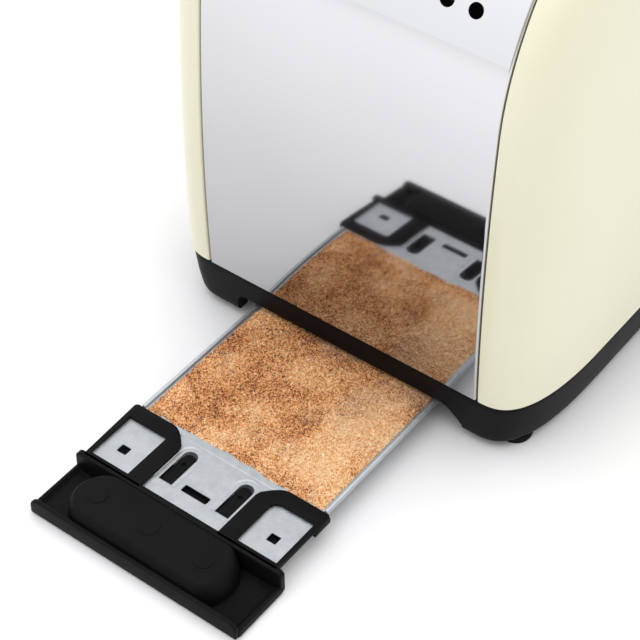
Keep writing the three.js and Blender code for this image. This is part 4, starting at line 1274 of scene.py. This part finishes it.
# %% [markdown]
# ## Toast crumbs' finish
# Toast runs from pale cream to nearly black where it burnt, and each crumb has its own colour. A picture of
# crumbs would repeat. Tiny cells give each grain a number, slow noise shifts whole patches towards dark or
# light, the heap darkens towards the casing, partly as browner crumbs and partly as painted shade from the
# casing, and a ramp turns the sum into browns. A second noise lets some untoasted cream through.


# %% Toast crumbs' finish
def add(tree, first, second):
    return add_node(tree, "ShaderNodeMath", {0: first, 1: second}, operation="ADD").outputs["Value"]


def toast_crumbs():
    material, tree, shader = new_material("toast_crumbs")
    grain = cells(tree, 2300).outputs["Color"]
    pick = add_node(tree, "ShaderNodeSeparateColor", {"Color": grain}).outputs
    patches = spread(tree, cloud(tree, 34, detail=6, roughness=0.6), -0.34, 0.26, 0.40, 0.60)
    untoasted = spread(tree, cloud(tree, 40, detail=7, roughness=0.62), 0.0, 0.3, 0.50, 0.62)
    along = add_node(tree, "ShaderNodeSeparateXYZ", {"Vector": place_of(tree)}).outputs["X"]
    # Partly painted shade and partly browner crumbs: the tone drops along the tray towards the casing.
    tone = add(tree, patches, spread(tree, along, 0.06, -0.16, -0.160, -0.097))
    brown = ramp(tree, add(tree, tone, pick["Red"]), [
        (0.0, (0.17, 0.045, 0.012)), (0.12, (0.48, 0.16, 0.042)), (0.40, (0.74, 0.34, 0.12)),
        (0.78, (0.88, 0.55, 0.26)), (1.0, (0.94, 0.72, 0.45))])
    cream = ramp(tree, pick["Blue"], [(0.0, (0.60, 0.36, 0.17)), (0.4, (0.82, 0.60, 0.36)),
                                      (1.0, (0.92, 0.80, 0.62))])
    feed(tree, shader,
         color=blend_colors(tree, untoasted, brown, cream),
         roughness=spread(tree, pick["Green"], 0.55, 0.85, 0, 1))
    bump(tree, shader, cloud(tree, 2600, detail=3, roughness=0.7), 0.6, 0.0003)
    return material


finishes["crumbs"] = toast_crumbs()
finish_piece(shade(bed, 60), "crumb_tray", "mica_board", finish="crumbs")

# %% [markdown]
# ## Loose crumbs
# Thousands of grains lie in the bed and a few have strayed onto the bare sheet. A particle system or instanced
# objects could scatter them, but 26,000 objects are slow, and a modifier's scatter is hard to keep off the
# handle. So one mesh holds them all, as small blocks with jittered corners, on the front 64 mm of the bed. The
# random generator is seeded, so the heap is the same each time.

# %% Loose crumbs
random = np.random.default_rng(7)
GRAIN_COUNT, STRAY_COUNT = 26000, 25
GRAIN_REACH, STRAY_REACH = 64, 4
LARGEST_GRAIN = 0.7
BLOCK_CORNERS = np.array([(a, b, c) for a in (-1, 1) for b in (-1, 1) for c in (-1, 1)], float)
BLOCK_FACES = [(0, 1, 3, 2), (4, 6, 7, 5), (0, 4, 5, 1), (2, 3, 7, 6), (0, 2, 6, 4), (1, 5, 7, 3)]


def random_turn():
    axis = Vector(random.normal(size=3)).normalized()
    return np.array(Matrix.Rotation(random.uniform(0, math.pi * 2), 3, axis))


def random_block():
    """The corners of a small irregular block round its centre, and its three half sizes."""
    size = random.lognormal(-1.42, 0.36) * np.array((1, random.uniform(0.6, 1), random.uniform(0.45, 0.9)))
    size = np.minimum(size, LARGEST_GRAIN)
    return BLOCK_CORNERS * size * random.uniform(0.65, 1, size=(8, 3)) @ random_turn().T, size


def make_grains():
    points, faces = [], []
    while len(points) < (GRAIN_COUNT + STRAY_COUNT) * len(BLOCK_CORNERS):
        stray = len(points) >= GRAIN_COUNT * len(BLOCK_CORNERS)
        if stray:
            u = random.uniform(BED_FRONT + 0.5, BED_FRONT + STRAY_REACH)
        else:
            u = BED_FRONT + GRAIN_REACH * random.uniform() ** 0.95
        y = random.uniform(-BED_HALF + 0.3, BED_HALF - 0.3)
        if not stray and u < bed_front(y) + 0.4:
            continue
        corners, size = random_block()
        z = SHEET_TOP + size[2] if stray else bed_height(u, y) + size[2] * 0.35
        start = len(points)
        points.extend(map(tuple, corners + np.array((LIP_X + u, y, z))))
        faces.extend(tuple(start + k for k in face) for face in BLOCK_FACES)
    return new_piece("crumb_grains", points, faces)


finish_piece(shade(make_grains(), 50), "crumb_tray", "mica_board", finish="crumbs")

# %% [markdown]
# ## The floor
# The toaster stands on a pale seamless sheet. A curved backdrop would do the same, but it would have to be
# kept out of the steel. A flat sheet, large enough that its edge doesn't show, simply melts into the white room.
# Its colour carries painted light: light grey near the toaster stands in for the shade close by, and it turns
# white far away, as a brightly lit floor would look.

# %% Floor
FLOOR_REACH = 6
# Painted light: light grey near the toaster for the shade close by, and white far away for a brightly lit floor.
SHADED_NEAR_TONES = [(0.3, (0.86, 0.86, 0.865)), (0.7, (0.87, 0.87, 0.875))]
LIT_FAR_TONE = (1.0, 1.0, 1.0)

floor_material, floor_tree, floor_shader = new_material("pale_floor")
drift = cloud(floor_tree, 3, detail=3)
distance = add_node(floor_tree, "ShaderNodeVectorMath", {0: place_of(floor_tree)}, operation="LENGTH")
# Painted light: the colour turns from the shaded grey to white between 0.5 and 2.5 m from the origin.
far = spread(floor_tree, distance.outputs["Value"], 0, 1, 0.5, 2.5)
feed(floor_tree, floor_shader,
     color=blend_colors(floor_tree, far, ramp(floor_tree, drift, SHADED_NEAR_TONES), LIT_FAR_TONE),
     roughness=spread(floor_tree, drift, 0.55, 0.65))
bump(floor_tree, floor_shader, cloud(floor_tree, 600, detail=2), 0.03, 0.0001)
floor_corners = [(a * FLOOR_REACH, b * FLOOR_REACH, 0) for a, b in ((-1, -1), (1, -1), (1, 1), (-1, 1))]
floor = new_piece("studio_floor", floor_corners, [(0, 1, 2, 3)], metres=True)
floor.data.materials.append(floor_material)
print("the floor is", 2 * FLOOR_REACH, "m wide")
